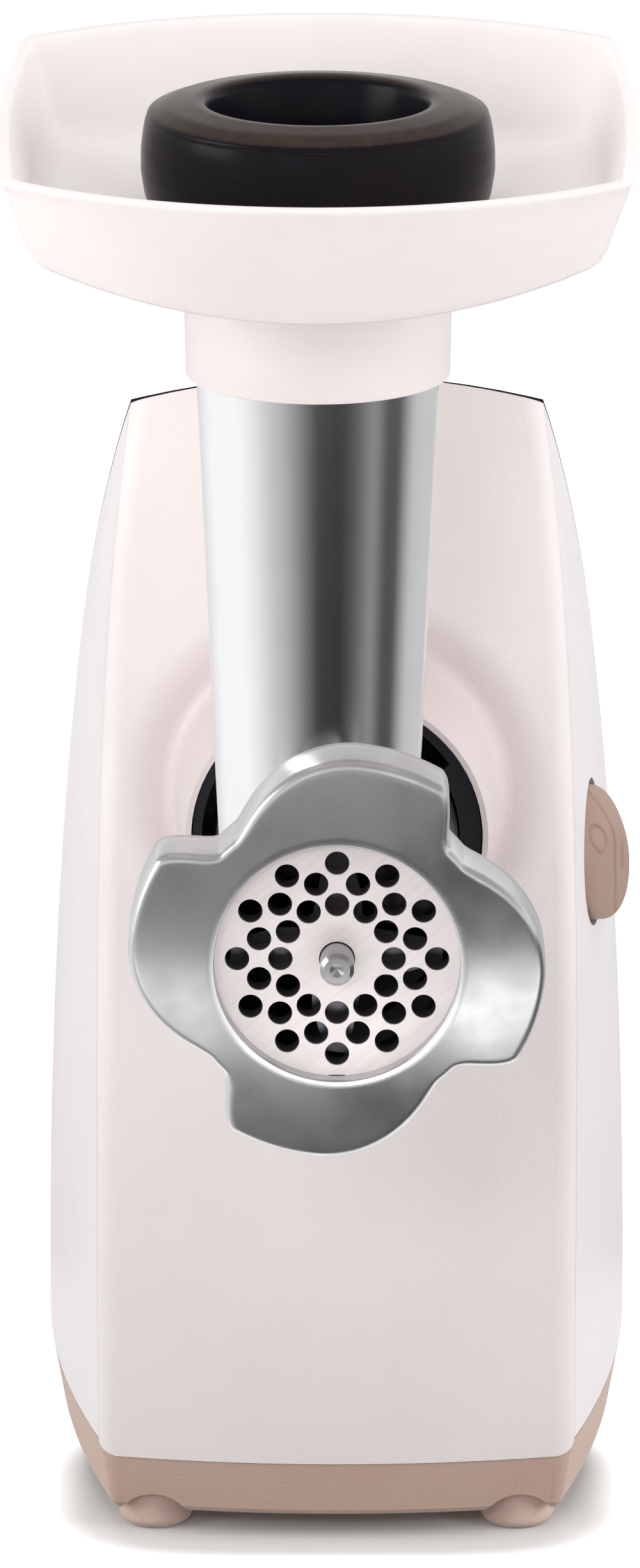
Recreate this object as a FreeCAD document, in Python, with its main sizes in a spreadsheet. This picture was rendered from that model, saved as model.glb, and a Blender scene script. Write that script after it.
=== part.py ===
# Electric meat grinder: a motor unit on four feet, with a cast head, tray and pusher.
# Millimetres. X runs to the right, Y from the front to the back, Z up; the floor is Z = 0
# and the auger lies on X = 0.

import FreeCAD, Part
import math
import os
import re
import Sketcher
from FreeCAD import Placement, Rotation, Vector

# Driving sizes: name, value, what it is.
SIZES = [
    ("axis_height", 175, "auger axis above the floor"),
    ("panel_front", 6, "side edges of the front panel, from the middle of the part"),
    ("panel_bulge", 5, "how far the panel bows out at its middle"),
    ("seam_depth", 5, "panel edge to the seam with the shells"),
    ("strip_width", 4.2, "rounded strip between panel face and seam"),
    ("shell_wall", 2.5, "wall of the mouldings"),
    ("seam_gap", 0.25, "open line between two mouldings"),
    ("base_top", 21.5, "top edge of the base along the sides"),
    ("base_step", 2.4, "top edge of the base lower under the panel"),
    ("base_bottom", 6, "underside of the base"),
    ("base_tuck", 2.5, "how far the base draws in at its underside"),
    ("base_edge", 1.4, "bevel round its underside"),
    ("lip_height", 4, "locating lip of the base above its top edge"),
    ("form_rise", 100, "end of the side curves above the auger axis"),
    ("front_half", 53.2, "half width at the front seam, low down"),
    ("front_taper", 10.8, "loss of half width at the top"),
    ("belly", 13.7, "side bulge behind the seam, low down"),
    ("belly_y", 110, "where the sides are widest"),
    ("rear_y", 157, "back of the housing"),
    ("back_radius", 217, "side view radius of the back cover"),
    ("back_drop", 113, "centre of that radius below the auger axis"),
    ("crown_radius", 184, "crown of the back cover across its width"),
    ("cover_step", 0.9, "back cover above the panel's top edge"),
    ("neck_length", 30.6, "neck in front of the panel"),
    ("neck_radius", 32.5, "outside of the neck at its front"),
    ("neck_base_radius", 35.3, "outside of the neck at the panel"),
    ("neck_fillet", 4, "fillet between neck and panel"),
    ("neck_bore", 31.3, "bore of the neck"),
    ("hub_recess", 1, "hub face behind the neck's front edge"),
    ("hub_clear", 0.3, "hub socket in the neck"),
    ("hub_rear", 9.5, "rear face of the hub socket"),
    ("spigot_radius", 26, "rear spigot of the head"),
    ("spigot_clear", 0.35, "spigot in the hub socket"),
    ("lug_rise", 2.6, "bayonet lugs above the spigot"),
    ("lug_angle", 30, "width of one bayonet lug in degrees"),
    ("bayonet_turn", 40, "turn that frees the head in degrees"),
    ("plate_reach", 119.4, "plate face in front of the panel edge"),
    ("plate_radius", 27, "grinding plate, number 5"),
    ("plate_thick", 5, "grinding plate"),
    ("plate_hole", 2.52, "radius of the holes of the plate"),
    ("ring_inner", 11.65, "inner ring of holes"),
    ("ring_middle", 16.6, "middle ring of holes"),
    ("ring_outer", 20.57, "outer ring of holes"),
    ("pin_radius", 3.5, "front pin of the auger"),
    ("pin_proud", 8, "pin in front of the plate"),
    ("pin_play", 0.2, "pin in the plate"),
    ("barrel_radius", 26, "outside of the barrel"),
    ("barrel_bore", 23.5, "bore of the barrel"),
    ("collar_radius", 30, "screwed collar of the barrel"),
    ("collar_length", 15.5, "length of that collar"),
    ("ring_peak", 43.1, "fixing ring at its lobes"),
    ("ring_valley", 33.5, "fixing ring between its lobes"),
    ("ring_lip", 3.8, "lip of the fixing ring in front of the plate"),
    ("ring_mouth", 25.3, "opening of the fixing ring"),
    ("ring_depth", 12, "lobes of the fixing ring along the axis"),
    ("ring_lean", 1.8, "front of its lobes behind its lip"),
    ("ring_bevel", 1.8, "bevel of the front edge of its lobes"),
    ("tube_reach", 70, "feed tube axis in front of the panel edge"),
    ("tube_shift", -4, "feed tube axis to the side of the auger"),
    ("tube_radius", 20.46, "feed tube carried down to the auger axis, outside"),
    ("tube_flare", 0.0431, "growth of the tube's radius per height"),
    ("tube_wall", 2.6, "wall of the feed tube"),
    ("tube_top", 128, "mouth of the tube above the auger axis"),
    ("head_fillet", 4, "fillet between tube and barrel"),
    ("tray_rim", 168, "rim of the tray above the auger axis"),
    ("tray_half", 62.8, "half width of the tray at its corners"),
    ("tray_side", 2.6, "bow of its long sides"),
    ("tray_long", 67.8, "half length of the tray at its corners"),
    ("tray_end", 25.3, "bow of its two ends"),
    ("tray_wall", 2.2, "wall of the tray"),
    ("tray_floor", 140.3, "underside of the tray above the auger axis"),
    ("floor_radius", 205, "curve of the tray's floor across its width"),
    ("draft_side", 0.3, "lean of the long sides"),
    ("draft_end", 0.5, "lean of the ends"),
    ("collar_bottom", 111.7, "lower end of the tray's collar above the axis"),
    ("tray_collar", 28, "outside of the tray's collar"),
    ("socket_clear", 0.3, "tray's collar over the mouth of the tube"),
    ("mouth_rise", 6, "seat for the pusher above the tray's underside"),
    ("pusher_top", 169.6, "top of the pusher above the auger axis"),
    ("pusher_belly", 36.5, "widest radius of the pusher's head"),
    ("pusher_mouth", 24.3, "opening in the pusher's head"),
    ("pusher_clear", 0.5, "pusher in the tube"),
    ("pusher_foot", 26, "lower end of the pusher above the auger axis"),
    ("pusher_wall", 2.4, "wall of the pusher"),
    ("auger_clear", 0.6, "auger flight in the barrel"),
    ("auger_core", 9.5, "core of the auger"),
    ("auger_pitch", 24, "pitch of the auger"),
    ("knife_thick", 4.8, "knife along the axis"),
    ("shank_half", 4.5, "half width of the auger's square shank"),
    ("journal_radius", 8.9, "rear journal of the auger"),
    ("hex_radius", 6.6, "corner radius of the auger's hexagon"),
    ("spindle_socket", 11, "socket end of the drive spindle"),
    ("spindle_radius", 7, "drive spindle"),
    ("bush_radius", 11, "outside of the bushes"),
    ("run_clear", 0.06, "running fit"),
    ("module_out", 1.25, "tooth module of the output stage"),
    ("module_mid", 1.0, "tooth module of the middle stage"),
    ("module_first", 0.8, "tooth module of the motor stage"),
    ("backlash", 0.2, "play of the teeth at the pitch line"),
    ("frame_front", 10, "front face of the front gear plate"),
    ("frame_plate", 4, "thickness of the gear plates"),
    ("frame_gap", 33, "space between the gear plates"),
    ("frame_half", 36, "half width of the gear plates"),
    ("frame_over", 40, "gear plates above the auger axis"),
    ("frame_under", 22, "gear plates below the motor axis"),
    ("axle_radius", 4, "gear axles"),
    ("rotor_shaft_radius", 4, "motor shaft"),
    ("stator_half", 35, "half side of the stator"),
    ("stator_length", 44, "length of the stator"),
    ("stator_gap", 17, "rear gear plate to the stator"),
    ("rotor_radius", 20.7, "rotor core"),
    ("air_gap", 0.6, "rotor to stator"),
    ("bracket_gap", 21, "stator to the end bracket"),
    ("bolt_radius", 2, "motor bolts"),
    ("foot_radius", 8.2, "feet"),
    ("foot_height", 9.6, "feet, up into the base"),
    ("foot_front_x", 40.7, "front feet to the side"),
    ("foot_front_y", 18, "front feet"),
    ("foot_rear_x", 46, "rear feet to the side"),
    ("foot_rear_y", 126, "rear feet"),
    ("switch_y", 40, "switch along the side"),
    ("switch_z", 150.3, "switch above the floor"),
    ("switch_radius", 15.2, "round rocker of the switch"),
    ("switch_clear", 1.3, "rocker in its opening"),
    ("switch_cant", 8, "turn of the switch to the front in degrees"),
    ("switch_lean", 4, "lean of the switch up the side in degrees"),
    ("switch_pivot", 6.5, "switch pin under the shell's face"),
    ("switch_crest", 5.4, "ridge of the rocker above the shell's face"),
    ("button_radius", 9, "head release button"),
    ("button_rise", 62, "release button above the auger axis"),
    ("button_proud", 2.6, "release button in front of the panel"),
    ("button_travel", 4, "release button's stroke"),
    ("gland_radius", 4.6, "cord gland in the base"),
    ("gland_bore", 3.2, "opening of the cord gland"),
]

# The three stages from the auger back to the motor: teeth of the wheel and of its pinion.
STAGES = {"out": (52, 13), "mid": (48, 12), "first": (45, 10)}

# Positions that follow from the driving sizes.
DERIVED = {
    "seam_y": "panel_front + seam_depth",
    "face_y": "panel_front - panel_bulge",
    "neck_front": "face_y - neck_length",
    "hub_front": "neck_front + hub_recess",
    "hub_radius": "neck_bore - hub_clear",
    "hub_bore": "spigot_radius + spigot_clear",
    "groove_radius": "spigot_radius + lug_rise + 0.4",
    "groove_front": "hub_front + 6.6",
    "groove_rear": "groove_front + 8",
    "hub_wall": "groove_rear + 5",
    "plate_face": "panel_front - plate_reach",
    "plate_back": "plate_face + plate_thick",
    "head_front": "plate_face + 1",
    "knife_front": "plate_back + 0.1",
    "knife_back": "knife_front + knife_thick",
    "head_rear": "groove_rear + 2",
    "head_wall": "head_rear - 4",
    "tube_y": "panel_front - tube_reach",
    "tube_z": "axis_height + tube_top",
    "tray_half_low": "tray_half - draft_side * (tray_rim - tray_floor + 6)",
    "socket_front": "hub_wall - 0.2",
    "frame_back": "frame_front + frame_plate",
    "rear_plate": "frame_back + frame_gap",
    "rear_plate_back": "rear_plate + frame_plate",
    "centres_out": f"module_out * {sum(STAGES['out']) / 2}",
    "centres_mid": f"module_mid * {sum(STAGES['mid']) / 2}",
    "centres_first": f"module_first * {sum(STAGES['first']) / 2}",
    "axle_upper_z": "axis_height - centres_out",
    "axle_lower_z": "axle_upper_z - centres_mid",
    "motor_z": "axle_lower_z - centres_first",
    "stator_front": "rear_plate_back + stator_gap",
    "stator_back": "stator_front + stator_length",
    "bracket_front": "stator_back + bracket_gap",
    "bracket_back": "bracket_front + 4",
    "bolt_offset": "stator_half - 4",
    "cover_radius": "back_radius",
    "back_centre_y": "rear_y - back_radius",
    "back_centre_z": "axis_height - back_drop",
    "form_top": "axis_height + form_rise",
    "button_z": "axis_height + button_rise",
    "button_front": "face_y - button_proud",
    "button_back": "button_front + 9.5",
    "guide_back": "button_back + button_travel + 4",
    "floor_inside": "base_bottom + shell_wall",
}

NAMES = {name for name, _, _ in SIZES}
WORD = re.compile(r"[a-z][a-z_0-9]*")

doc = FreeCAD.newDocument("meat_grinder")
sheet = doc.addObject("Spreadsheet::Sheet", "Sizes")
for row, (name, value, note) in enumerate(SIZES, start=1):
    sheet.set(f"A{row}", note)
    sheet.set(f"B{row}", str(value))
    sheet.setAlias(f"B{row}", name)
doc.recompute()


def full(text):
    """An expression over the sheet's cells, with the derived positions written out."""

    def expand(match):
        word = match.group(0)
        if word in DERIVED:
            return f"({full(DERIVED[word])})"
        return f"Sizes.{word}" if word in NAMES else word

    return WORD.sub(expand, str(text))


def num(text):
    """The value of an expression over the sheet, in millimetres or degrees."""
    return float(sheet.evalExpression(full(text)))


PIECES = {}
ALONG_Y = Rotation(Vector(1, 0, 0), -90)


def bind(item, **cells):
    for field, text in cells.items():
        item.setExpression(field.replace("__", "."), full(text))
    return item


def put(item, x, y, z):
    for axis, text in zip("xyz", (x, y, z)):
        item.setExpression(f"Placement.Base.{axis}", full(text))
    return item


def rod_y(name, radius, start, end, x="0", z="0"):
    """A cylinder along Y between two depths."""
    item = doc.addObject("Part::Cylinder", name)
    item.Placement = Placement(Vector(), ALONG_Y)
    bind(item, Radius=radius, Height=f"({end}) - ({start})")
    return put(item, x, start, z)


def rod_z(name, radius, start, end, x="0", y="0"):
    """An upright cylinder between two heights."""
    item = doc.addObject("Part::Cylinder", name)
    bind(item, Radius=radius, Height=f"({end}) - ({start})")
    return put(item, x, y, start)


def block(name, x, y, z):
    """A box from three pairs of limits."""
    item = doc.addObject("Part::Box", name)
    sides = {"Length": x, "Width": y, "Height": z}
    for field, (low, high) in sides.items():
        item.setExpression(field, full(f"({high}) - ({low})"))
    return put(item, x[0], y[0], z[0])


def cut(name, base, *tools):
    if len(tools) > 1:
        joined = doc.addObject("Part::MultiFuse", f"{name}_tools")
        joined.Shapes = list(tools)
        tools = (joined,)
    item = doc.addObject("Part::Cut", name)
    item.Base = base
    item.Tool = tools[0]
    return item


def join(name, *parts):
    item = doc.addObject("Part::MultiFuse", name)
    item.Shapes = list(parts)
    return item


def group(name, *parts):
    item = doc.addObject("Part::Compound", name)
    item.Links = list(parts)
    return item


def piece(label, item):
    item.Label = label
    PIECES[label] = item
    return item


def formed(label, shape):
    """A sub-part whose surface no primitive makes."""
    item = doc.addObject("Part::Feature", label)
    item.Shape = shape.removeSplitter()
    item.Placement = Placement()
    return piece(label, item)


def turned(label, points, upright=False, x="0", y="0", z="0"):
    """A turned sub-part: (radius, distance along the axis) corners, turned about Y or Z."""
    body = doc.addObject("PartDesign::Body", label)
    sketch = body.newObject("Sketcher::SketchObject", f"{label}_profile")
    plane = "XZ_Plane" if upright else "XY_Plane"
    sketch.AttachmentSupport = [(next(f for f in body.Origin.OriginFeatures if f.Role == plane), "")]
    sketch.MapMode = "FlatFace"
    corners = [Vector(num(a), num(b), 0) for a, b in points]
    count = len(points)
    for i in range(count):
        sketch.addGeometry(Part.LineSegment(corners[i], corners[(i + 1) % count]))
    for i in range(count):
        sketch.addConstraint(Sketcher.Constraint("Coincident", i, 2, (i + 1) % count, 1))
    for i, (a, b) in enumerate(points):
        for kind, text in (("DistanceX", a), ("DistanceY", b)):
            k = sketch.addConstraint(Sketcher.Constraint(kind, -1, 1, i, 1, num(text)))
            tag = f"{kind[-1].lower()}{i}"
            sketch.renameConstraint(k, tag)
            sketch.setExpression(f"Constraints.{tag}", full(text))
    turn = body.newObject("PartDesign::Revolution", f"{label}_turn")
    turn.Profile = sketch
    turn.ReferenceAxis = (sketch, ["V_Axis"])
    turn.Angle = 360
    put(body, x, y, z)
    return piece(label, body)


# Housing form: plan curves at each height, cut by a crowned drum whose axis runs across.

def share(height):
    low = num("base_top")
    return (height - low) / (num("form_top") - low)


def front_half(height):
    """Half width at the seam: w = w0 - taper t^4."""
    return num("front_half") - num("front_taper") * max(share(height), 0) ** 4


def belly(height):
    """Side bulge behind the seam: b = b0 (1 - t^2)^1.3."""
    return num("belly") * max(1 - share(height) ** 2, 0.002) ** 1.3


def side_half(depth, height):
    """Half width at a depth: the bulge falls off as a parabola to either side of its peak."""
    away = (num("belly_y") - depth) / (num("belly_y") - num("seam_y"))
    return front_half(height) + belly(height) * (1 - away * away)


def drum(radius):
    """Crowned drum that shapes the top and the back: r = R - x^2 / (2 crown)."""
    reach = 90
    edge = radius - reach * reach / (2 * num("crown_radius"))
    corners = [Vector(-reach, 0, 0), Vector(reach, 0, 0), Vector(reach, 0, edge), Vector(-reach, 0, edge)]
    sides = [Part.makeLine(corners[3], corners[0]), Part.makeLine(corners[0], corners[1])]
    sides.append(Part.makeLine(corners[1], corners[2]))
    sides.append(Part.Arc(corners[2], Vector(0, 0, radius), corners[3]).toShape())
    face = Part.Face(Part.Wire(sides))
    solid = face.revolve(Vector(), Vector(1, 0, 0), 360)
    solid.translate(Vector(0, num("back_centre_y"), num("back_centre_z")))
    return solid


def drum_back(height, side, inset=0.0):
    """Depth of the drum's back at a height and a distance to the side."""
    radius = num("cover_radius") - inset - side * side / (2 * num("crown_radius"))
    rise = height - num("back_centre_z")
    return num("back_centre_y") + math.sqrt(radius * radius - rise * rise)


def mirrored(points):
    return [Vector(-p.x, p.y, p.z) for p in points]


def shell_wire(height, inset, start):
    """Plan of the side shells: straight across the seam and past the back, curved at the sides."""
    stop = num("rear_y") + 6
    depths = (start, 0.5 * (start + stop), stop)
    right = [Vector(side_half(d, height) - inset, d, height) for d in depths]
    left = mirrored(right)
    edges = [Part.makeLine(left[0], right[0]), Part.Arc(*right).toShape()]
    edges += [Part.makeLine(right[2], left[2]), Part.Arc(left[2], left[1], left[0]).toShape()]
    return Part.Wire(edges)


def face_points(height, inset):
    """Right half of the panel's plan: its middle, its edge, the strip and the seam."""
    half = front_half(height)
    rim = half - num("strip_width")
    middle = Vector(0, num("face_y") + inset, height)
    edge = Vector(rim - 0.5 * inset, num("panel_front") + inset, height)
    seam = Vector(half - inset, num("seam_y"), height)
    bow = Vector(0.5 * (edge.x + seam.x) + 0.9, 0.5 * (edge.y + seam.y) - 0.7, height)
    return middle, edge, bow, seam


def panel_wire(height, inset, back):
    """Plan of the front panel, closed straight across at the given depth."""
    middle, edge, bow, seam = face_points(height, inset)
    right = [edge, bow, seam]
    left = mirrored(right)
    rear = Vector(seam.x, back, height)
    rear_left = Vector(-seam.x, back, height)
    edges = [Part.Arc(left[0], middle, right[0]).toShape(), Part.Arc(*right).toShape()]
    if abs(back - seam.y) > 1e-6:
        edges.append(Part.makeLine(seam, rear))
    edges.append(Part.makeLine(rear, rear_left))
    if abs(back - seam.y) > 1e-6:
        edges.append(Part.makeLine(rear_left, left[2]))
    edges.append(Part.Arc(left[2], left[1], left[0]).toShape())
    return Part.Wire(edges)


def base_wire(height, inset):
    """Plan of the base: the panel's front, the shells' sides and the drum's back."""
    level = num("base_top")
    middle, edge, bow, seam = [Vector(p.x, p.y, height) for p in face_points(level, inset)]
    side_end = side_half(num("rear_y"), level) - inset
    stop = drum_back(level, side_end, inset)
    mid_depth = 0.5 * (seam.y + stop)
    side = [seam, Vector(side_half(mid_depth, level) - inset, mid_depth, height)]
    side.append(Vector(side_half(stop, level) - inset, stop, height))
    back = Vector(0, drum_back(level, 0, inset), height)
    front = [edge, bow, seam]
    left_front, left_side = mirrored(front), mirrored(side)
    edges = [Part.Arc(left_front[0], middle, edge).toShape(), Part.Arc(*front).toShape()]
    edges += [Part.Arc(*side).toShape(), Part.Arc(side[2], back, left_side[2]).toShape()]
    edges += [Part.Arc(left_side[2], left_side[1], left_side[0]).toShape()]
    edges += [Part.Arc(left_front[2], left_front[1], left_front[0]).toShape()]
    return Part.Wire(edges)


def loft(wires, ruled=False):
    return Part.makeLoft(wires, True, ruled)


def levels(low, count=8):
    high = num("form_top")
    return [low + (high - low) * k / (count - 1) for k in range(count)]


wall = num("shell_wall")
gap = num("seam_gap")
seam_y = num("seam_y")
shell_low = num("base_top") + gap
side_form = loft([shell_wire(z, 0, seam_y) for z in levels(shell_low)])
side_hollow = loft([shell_wire(z, wall, seam_y - 2) for z in levels(shell_low - 3)])
sides = side_form.cut(side_hollow).common(drum(num("cover_radius - cover_step") - gap))
cover_form = loft([shell_wire(z, wall + gap, seam_y) for z in levels(shell_low)])
cover = cover_form.cut(drum(num("cover_radius") - wall))
cover = cover.fuse(side_form.cut(drum(num("cover_radius - cover_step")))).common(drum(num("cover_radius")))

# Back cover with its cooling slots; its rim caps the edges of the shells.
slots = []
slot_pitch = 7
for k in range(9):
    slot_z = num("back_centre_z") - 22 + slot_pitch * k
    depth = drum_back(slot_z, 0)
    slots.append(Part.makeBox(56, 20, 3, Vector(-28, depth - 10, slot_z)))
formed("back_cover", cover.cut(slots))

left, right = sorted(sides.Solids, key=lambda s: s.CenterOfMass.x)
formed("left_shell", left)

# Frame of the switch: X out of the side, Y back along it, Z up its leaning face.
switch_at = Vector(side_half(num("switch_y"), num("switch_z")), num("switch_y"), num("switch_z"))
switch_turn = Rotation(Vector(0, 0, 1), -num("switch_cant")) * Rotation(Vector(0, 1, 0), -num("switch_lean"))
switch_place = Placement(switch_at, switch_turn)
switch_out = switch_turn.multVec(Vector(1, 0, 0))
opening = Part.makeCylinder(
    num("switch_radius + switch_clear"), 30, switch_at - switch_out * 15, switch_out
)
formed("right_shell", right.cut(opening))

# Front panel: a bowed shell with the neck, and the guide of the release button behind it.
# Its lower edge hangs in front of the base and climbs to the shells' edge across the strip.


def step_block(lift):
    """Space in front of the seam above the stepped joint of panel and base."""
    high, low = num("base_top") + lift, num("base_top - base_step") + lift
    near, seam = num("panel_front"), num("seam_y")
    outline = [(-40, low), (near, low), (seam, high), (seam, high + 300), (-40, high + 300)]
    points = [Vector(-100, y, z) for y, z in outline]
    return Part.Face(Part.makePolygon(points + points[:1])).extrude(Vector(200, 0, 0))


panel_gap = seam_y - gap
panel_low = num("base_top - base_step") - 1
panel = loft([panel_wire(z, 0, seam_y) for z in levels(panel_low)])
panel = panel.common(drum(num("cover_radius - cover_step"))).common(step_block(gap))
panel_in = loft([panel_wire(z, wall, seam_y + 3) for z in levels(panel_low - 3)])
panel_in = panel_in.common(drum(num("cover_radius - cover_step") - wall))
panel = panel.cut(panel_in)
panel = panel.cut(Part.makeBox(200, 10, 400, Vector(-100, panel_gap, 0)))

axis_z = num("axis_height")
face_y = num("face_y")
neck_front = num("neck_front")


def turned_shape(points, centre, axis):
    """Solid of revolution from (radius, distance) corners; a third number bows the next side."""
    across = Vector(1, 0, 0)
    place = [centre + across * p[0] + axis * p[1] for p in points]
    edges = []
    for i, p in enumerate(points):
        a, b = place[i], place[(i + 1) % len(points)]
        if len(p) > 2 and p[2]:
            chord = b - a
            normal = axis.cross(across).cross(chord).normalize()
            edges.append(Part.Arc(a, (a + b) * 0.5 + normal * p[2], b).toShape())
        else:
            edges.append(Part.makeLine(a, b))
    return Part.Face(Part.Wire(edges)).revolve(centre, axis, 360)


def neck_outside(depth):
    """Outside radius of the neck, a straight cone from its front edge through the panel."""
    lean = num("neck_base_radius - neck_radius") / num("neck_length")
    return num("neck_radius") + lean * (depth - neck_front)


def at_neck_foot(edge):
    """True for an edge where the cone of the neck meets the outside of the panel."""
    first, last = edge.ParameterRange
    points = [edge.valueAt(first + (last - first) * k / 4) for k in range(5)]
    off = [abs(math.hypot(p.x, p.z - axis_z) - neck_outside(p.y)) for p in points]
    depths = [p.y for p in points]
    level = max(depths) - min(depths) < 0.5 * num("neck_length") and min(depths) > 0.5 * neck_front
    return level and max(off) < 0.05 and edge.distToShape(panel_in)[0] > 0.5 * wall


neck = turned_shape(
    [
        (num("neck_bore") - 0.5, neck_front),
        (num("neck_radius"), neck_front),
        (neck_outside(seam_y), seam_y),
        (num("neck_bore") - 0.5, seam_y),
    ],
    Vector(0, 0, axis_z),
    Vector(0, 1, 0),
)
panel = panel.fuse(neck.cut(panel_in)).removeSplitter()
panel = panel.makeFillet(num("neck_fillet"), [edge for edge in panel.Edges if at_neck_foot(edge)])
button_at = Vector(num("tube_shift"), 0, num("button_z"))
guide = Part.makeCylinder(
    num("button_radius") + 2.4, num("guide_back") - face_y - 1.2, button_at + Vector(0, face_y + 1.2, 0),
    Vector(0, 1, 0)
)
panel = panel.fuse(guide)
panel = panel.cut(
    [
        Part.makeCylinder(num("neck_bore"), 90, Vector(0, neck_front - 10, axis_z), Vector(0, 1, 0)),
        Part.makeCylinder(
            num("button_radius") + 0.3, num("guide_back") - 2 - face_y + 10,
            button_at + Vector(0, face_y - 10, 0), Vector(0, 1, 0)
        ),
        Part.makeCylinder(3.3, 60, button_at, Vector(0, 1, 0)),
    ]
)
formed("front_panel", panel)

# Base: a shallow tan tray with a locating lip, vents, and holes for feet, screws and cord.
base_top = num("base_top")
base_low = num("base_bottom")
tuck = num("base_tuck")
edge = num("base_edge")
base_rings = [base_wire(base_low, tuck + edge), base_wire(base_low + edge, tuck), base_wire(base_top, 0)]
base_form = loft(base_rings, True).cut(step_block(0))
base = base_form
inside = loft([base_wire(base_low + wall, tuck + wall), base_wire(base_top + 1, wall)], True)
lip_out = loft([base_wire(base_top - 5, wall + 0.25), base_wire(base_top + num("lip_height"), wall + 0.25)])
lip_in = loft([base_wire(base_top - 6, 2 * wall), base_wire(base_top + num("lip_height") + 1, 2 * wall)])
lip = lip_out.cut(lip_in)
base = base.cut(inside).fuse(lip)
base_holes = []
feet_at = []
for sign in (-1, 1):
    feet_at.append((sign * num("foot_front_x"), num("foot_front_y")))
    feet_at.append((sign * num("foot_rear_x"), num("foot_rear_y")))
foot_r = num("foot_radius")
foot_top = num("foot_height")
for x, y in feet_at:
    boss = Part.makeCylinder(foot_r + 2.2, foot_top + 2.2 - base_low, Vector(x, y, base_low))
    base = base.fuse(boss.common(base_form))
    base_holes.append(Part.makeCylinder(foot_r + 0.25, foot_top + 0.1, Vector(x, y, 0)))
    base_holes.append(Part.makeCylinder(3.1, 20, Vector(x, y, base_low)))
    if y < num("belly_y"):
        arch = Part.makeCylinder(foot_r + 0.4, 40, Vector(x, y - 40, foot_top - foot_r), Vector(0, 1, 0))
        base_holes.append(arch)
cradle_screws_at = []
cradle_front = num("stator_front") + 6
cradle_back = num("stator_back") - 6
for sign in (-1, 1):
    for y in (cradle_front + 6, cradle_back - 6):
        cradle_screws_at.append((sign * 30, y))
for x, y in cradle_screws_at:
    base_holes.append(Part.makeCylinder(1.9, 20, Vector(x, y, base_low - 5)))
for k in range(7):
    base_holes.append(Part.makeBox(36, 3, 20, Vector(-18, 40 + 6.5 * k - 20, base_low - 8)))
gland_z = 0.5 * (base_top + base_low) + 0.6
gland_y = drum_back(base_top, 0)
base_holes.append(
    Part.makeCylinder(num("gland_radius") + 0.1, 30, Vector(0, gland_y - 20, gland_z), Vector(0, 1, 0))
)
formed("base", base.cut(base_holes))

feet = []
for x, y in feet_at:
    pad = Part.makeCylinder(foot_r, foot_top, Vector(x, y, 0))
    pad = pad.makeFillet(2.4, [e for e in pad.Edges if e.BoundBox.ZMax < 0.1])
    stem = Part.makeCylinder(3, 3.4, Vector(x, y, foot_top))
    feet.append(pad.fuse(stem).removeSplitter())
item = doc.addObject("Part::Feature", "feet")
item.Shape = Part.makeCompound(feet)
piece("feet", item)

# Cord gland: a grommet with a flange on either side of the base's rear wall.
turned(
    "cord_gland",
    [
        ("gland_bore", f"{gland_y} - base_tuck - 7"),
        ("gland_radius", f"{gland_y} - base_tuck - 7"),
        ("gland_radius", f"{gland_y} + 0.6"),
        ("gland_radius + 1.3", f"{gland_y} + 0.6"),
        ("gland_radius + 1.3", f"{gland_y} + 2.6"),
        ("gland_bore", f"{gland_y} + 2.6"),
    ],
    z=f"{gland_z}",
)

# Hub socket with the bayonet groove and its three entry slots.
hub = turned_shape(
    [
        (num("hub_bore"), num("hub_front")),
        (num("hub_radius"), num("hub_front")),
        (num("hub_radius"), num("hub_rear")),
        (num("spigot_radius"), num("hub_rear")),
        (num("spigot_radius"), num("hub_wall") + 4),
        (num("spindle_socket") + 1.6, num("hub_wall") + 4),
        (num("spindle_socket") + 1.6, num("hub_wall")),
        (num("hub_bore"), num("hub_wall")),
        (num("hub_bore"), num("groove_rear")),
        (num("groove_radius"), num("groove_rear")),
        (num("groove_radius"), num("groove_front")),
        (num("hub_bore"), num("groove_front")),
    ],
    Vector(0, 0, axis_z),
    Vector(0, 1, 0),
)


def lug_sector(radius, angle, front, back, turn):
    """A wedge about the auger axis, from the axis out to a radius."""
    half = math.radians(angle / 2)
    ends = [Vector(radius * math.sin(a), front, radius * math.cos(a)) for a in (-half, 0, half)]
    edges = [Part.makeLine(Vector(0, front, 0), ends[0]), Part.Arc(*ends).toShape()]
    edges.append(Part.makeLine(ends[2], Vector(0, front, 0)))
    wedge = Part.Face(Part.Wire(edges)).extrude(Vector(0, back - front, 0))
    wedge.rotate(Vector(), Vector(0, 1, 0), turn)
    wedge.translate(Vector(0, 0, axis_z))
    return wedge


entries = []
for k in range(3):
    turn = num("bayonet_turn") + 120 * k
    entries.append(
        lug_sector(
            num("groove_radius"), num("lug_angle") + 3, num("hub_front") - 1, num("groove_front") + 0.5,
            turn
        )
    )
formed("hub_socket", hub.cut(entries))

turned(
    "shaft_seal",
    [
        ("spindle_socket + run_clear", "hub_wall + 0.5"),
        ("spindle_socket + 1.5", "hub_wall + 0.5"),
        ("spindle_socket + 1.5", "hub_wall + 3.5"),
        ("spindle_socket + run_clear", "hub_wall + 3.5"),
    ],
    z="axis_height",
)

# Grinder head casting: barrel, screwed collar, feed tube, rear spigot with three lugs.
tube_base = Vector(num("tube_shift"), num("tube_y"), axis_z)
tube_low = 0


def tube_at(height):
    """Outside radius of the feed tube at a height above the axis."""
    return num("tube_radius") + num("tube_flare") * height


def tube_cone(shrink, low, high):
    base_point = tube_base + Vector(0, 0, low)
    return Part.makeCone(tube_at(low) - shrink, tube_at(high) - shrink, high - low, base_point)


def disc_y(radius, front, back):
    return Part.makeCylinder(radius, back - front, Vector(0, front, axis_z), Vector(0, 1, 0))


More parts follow.
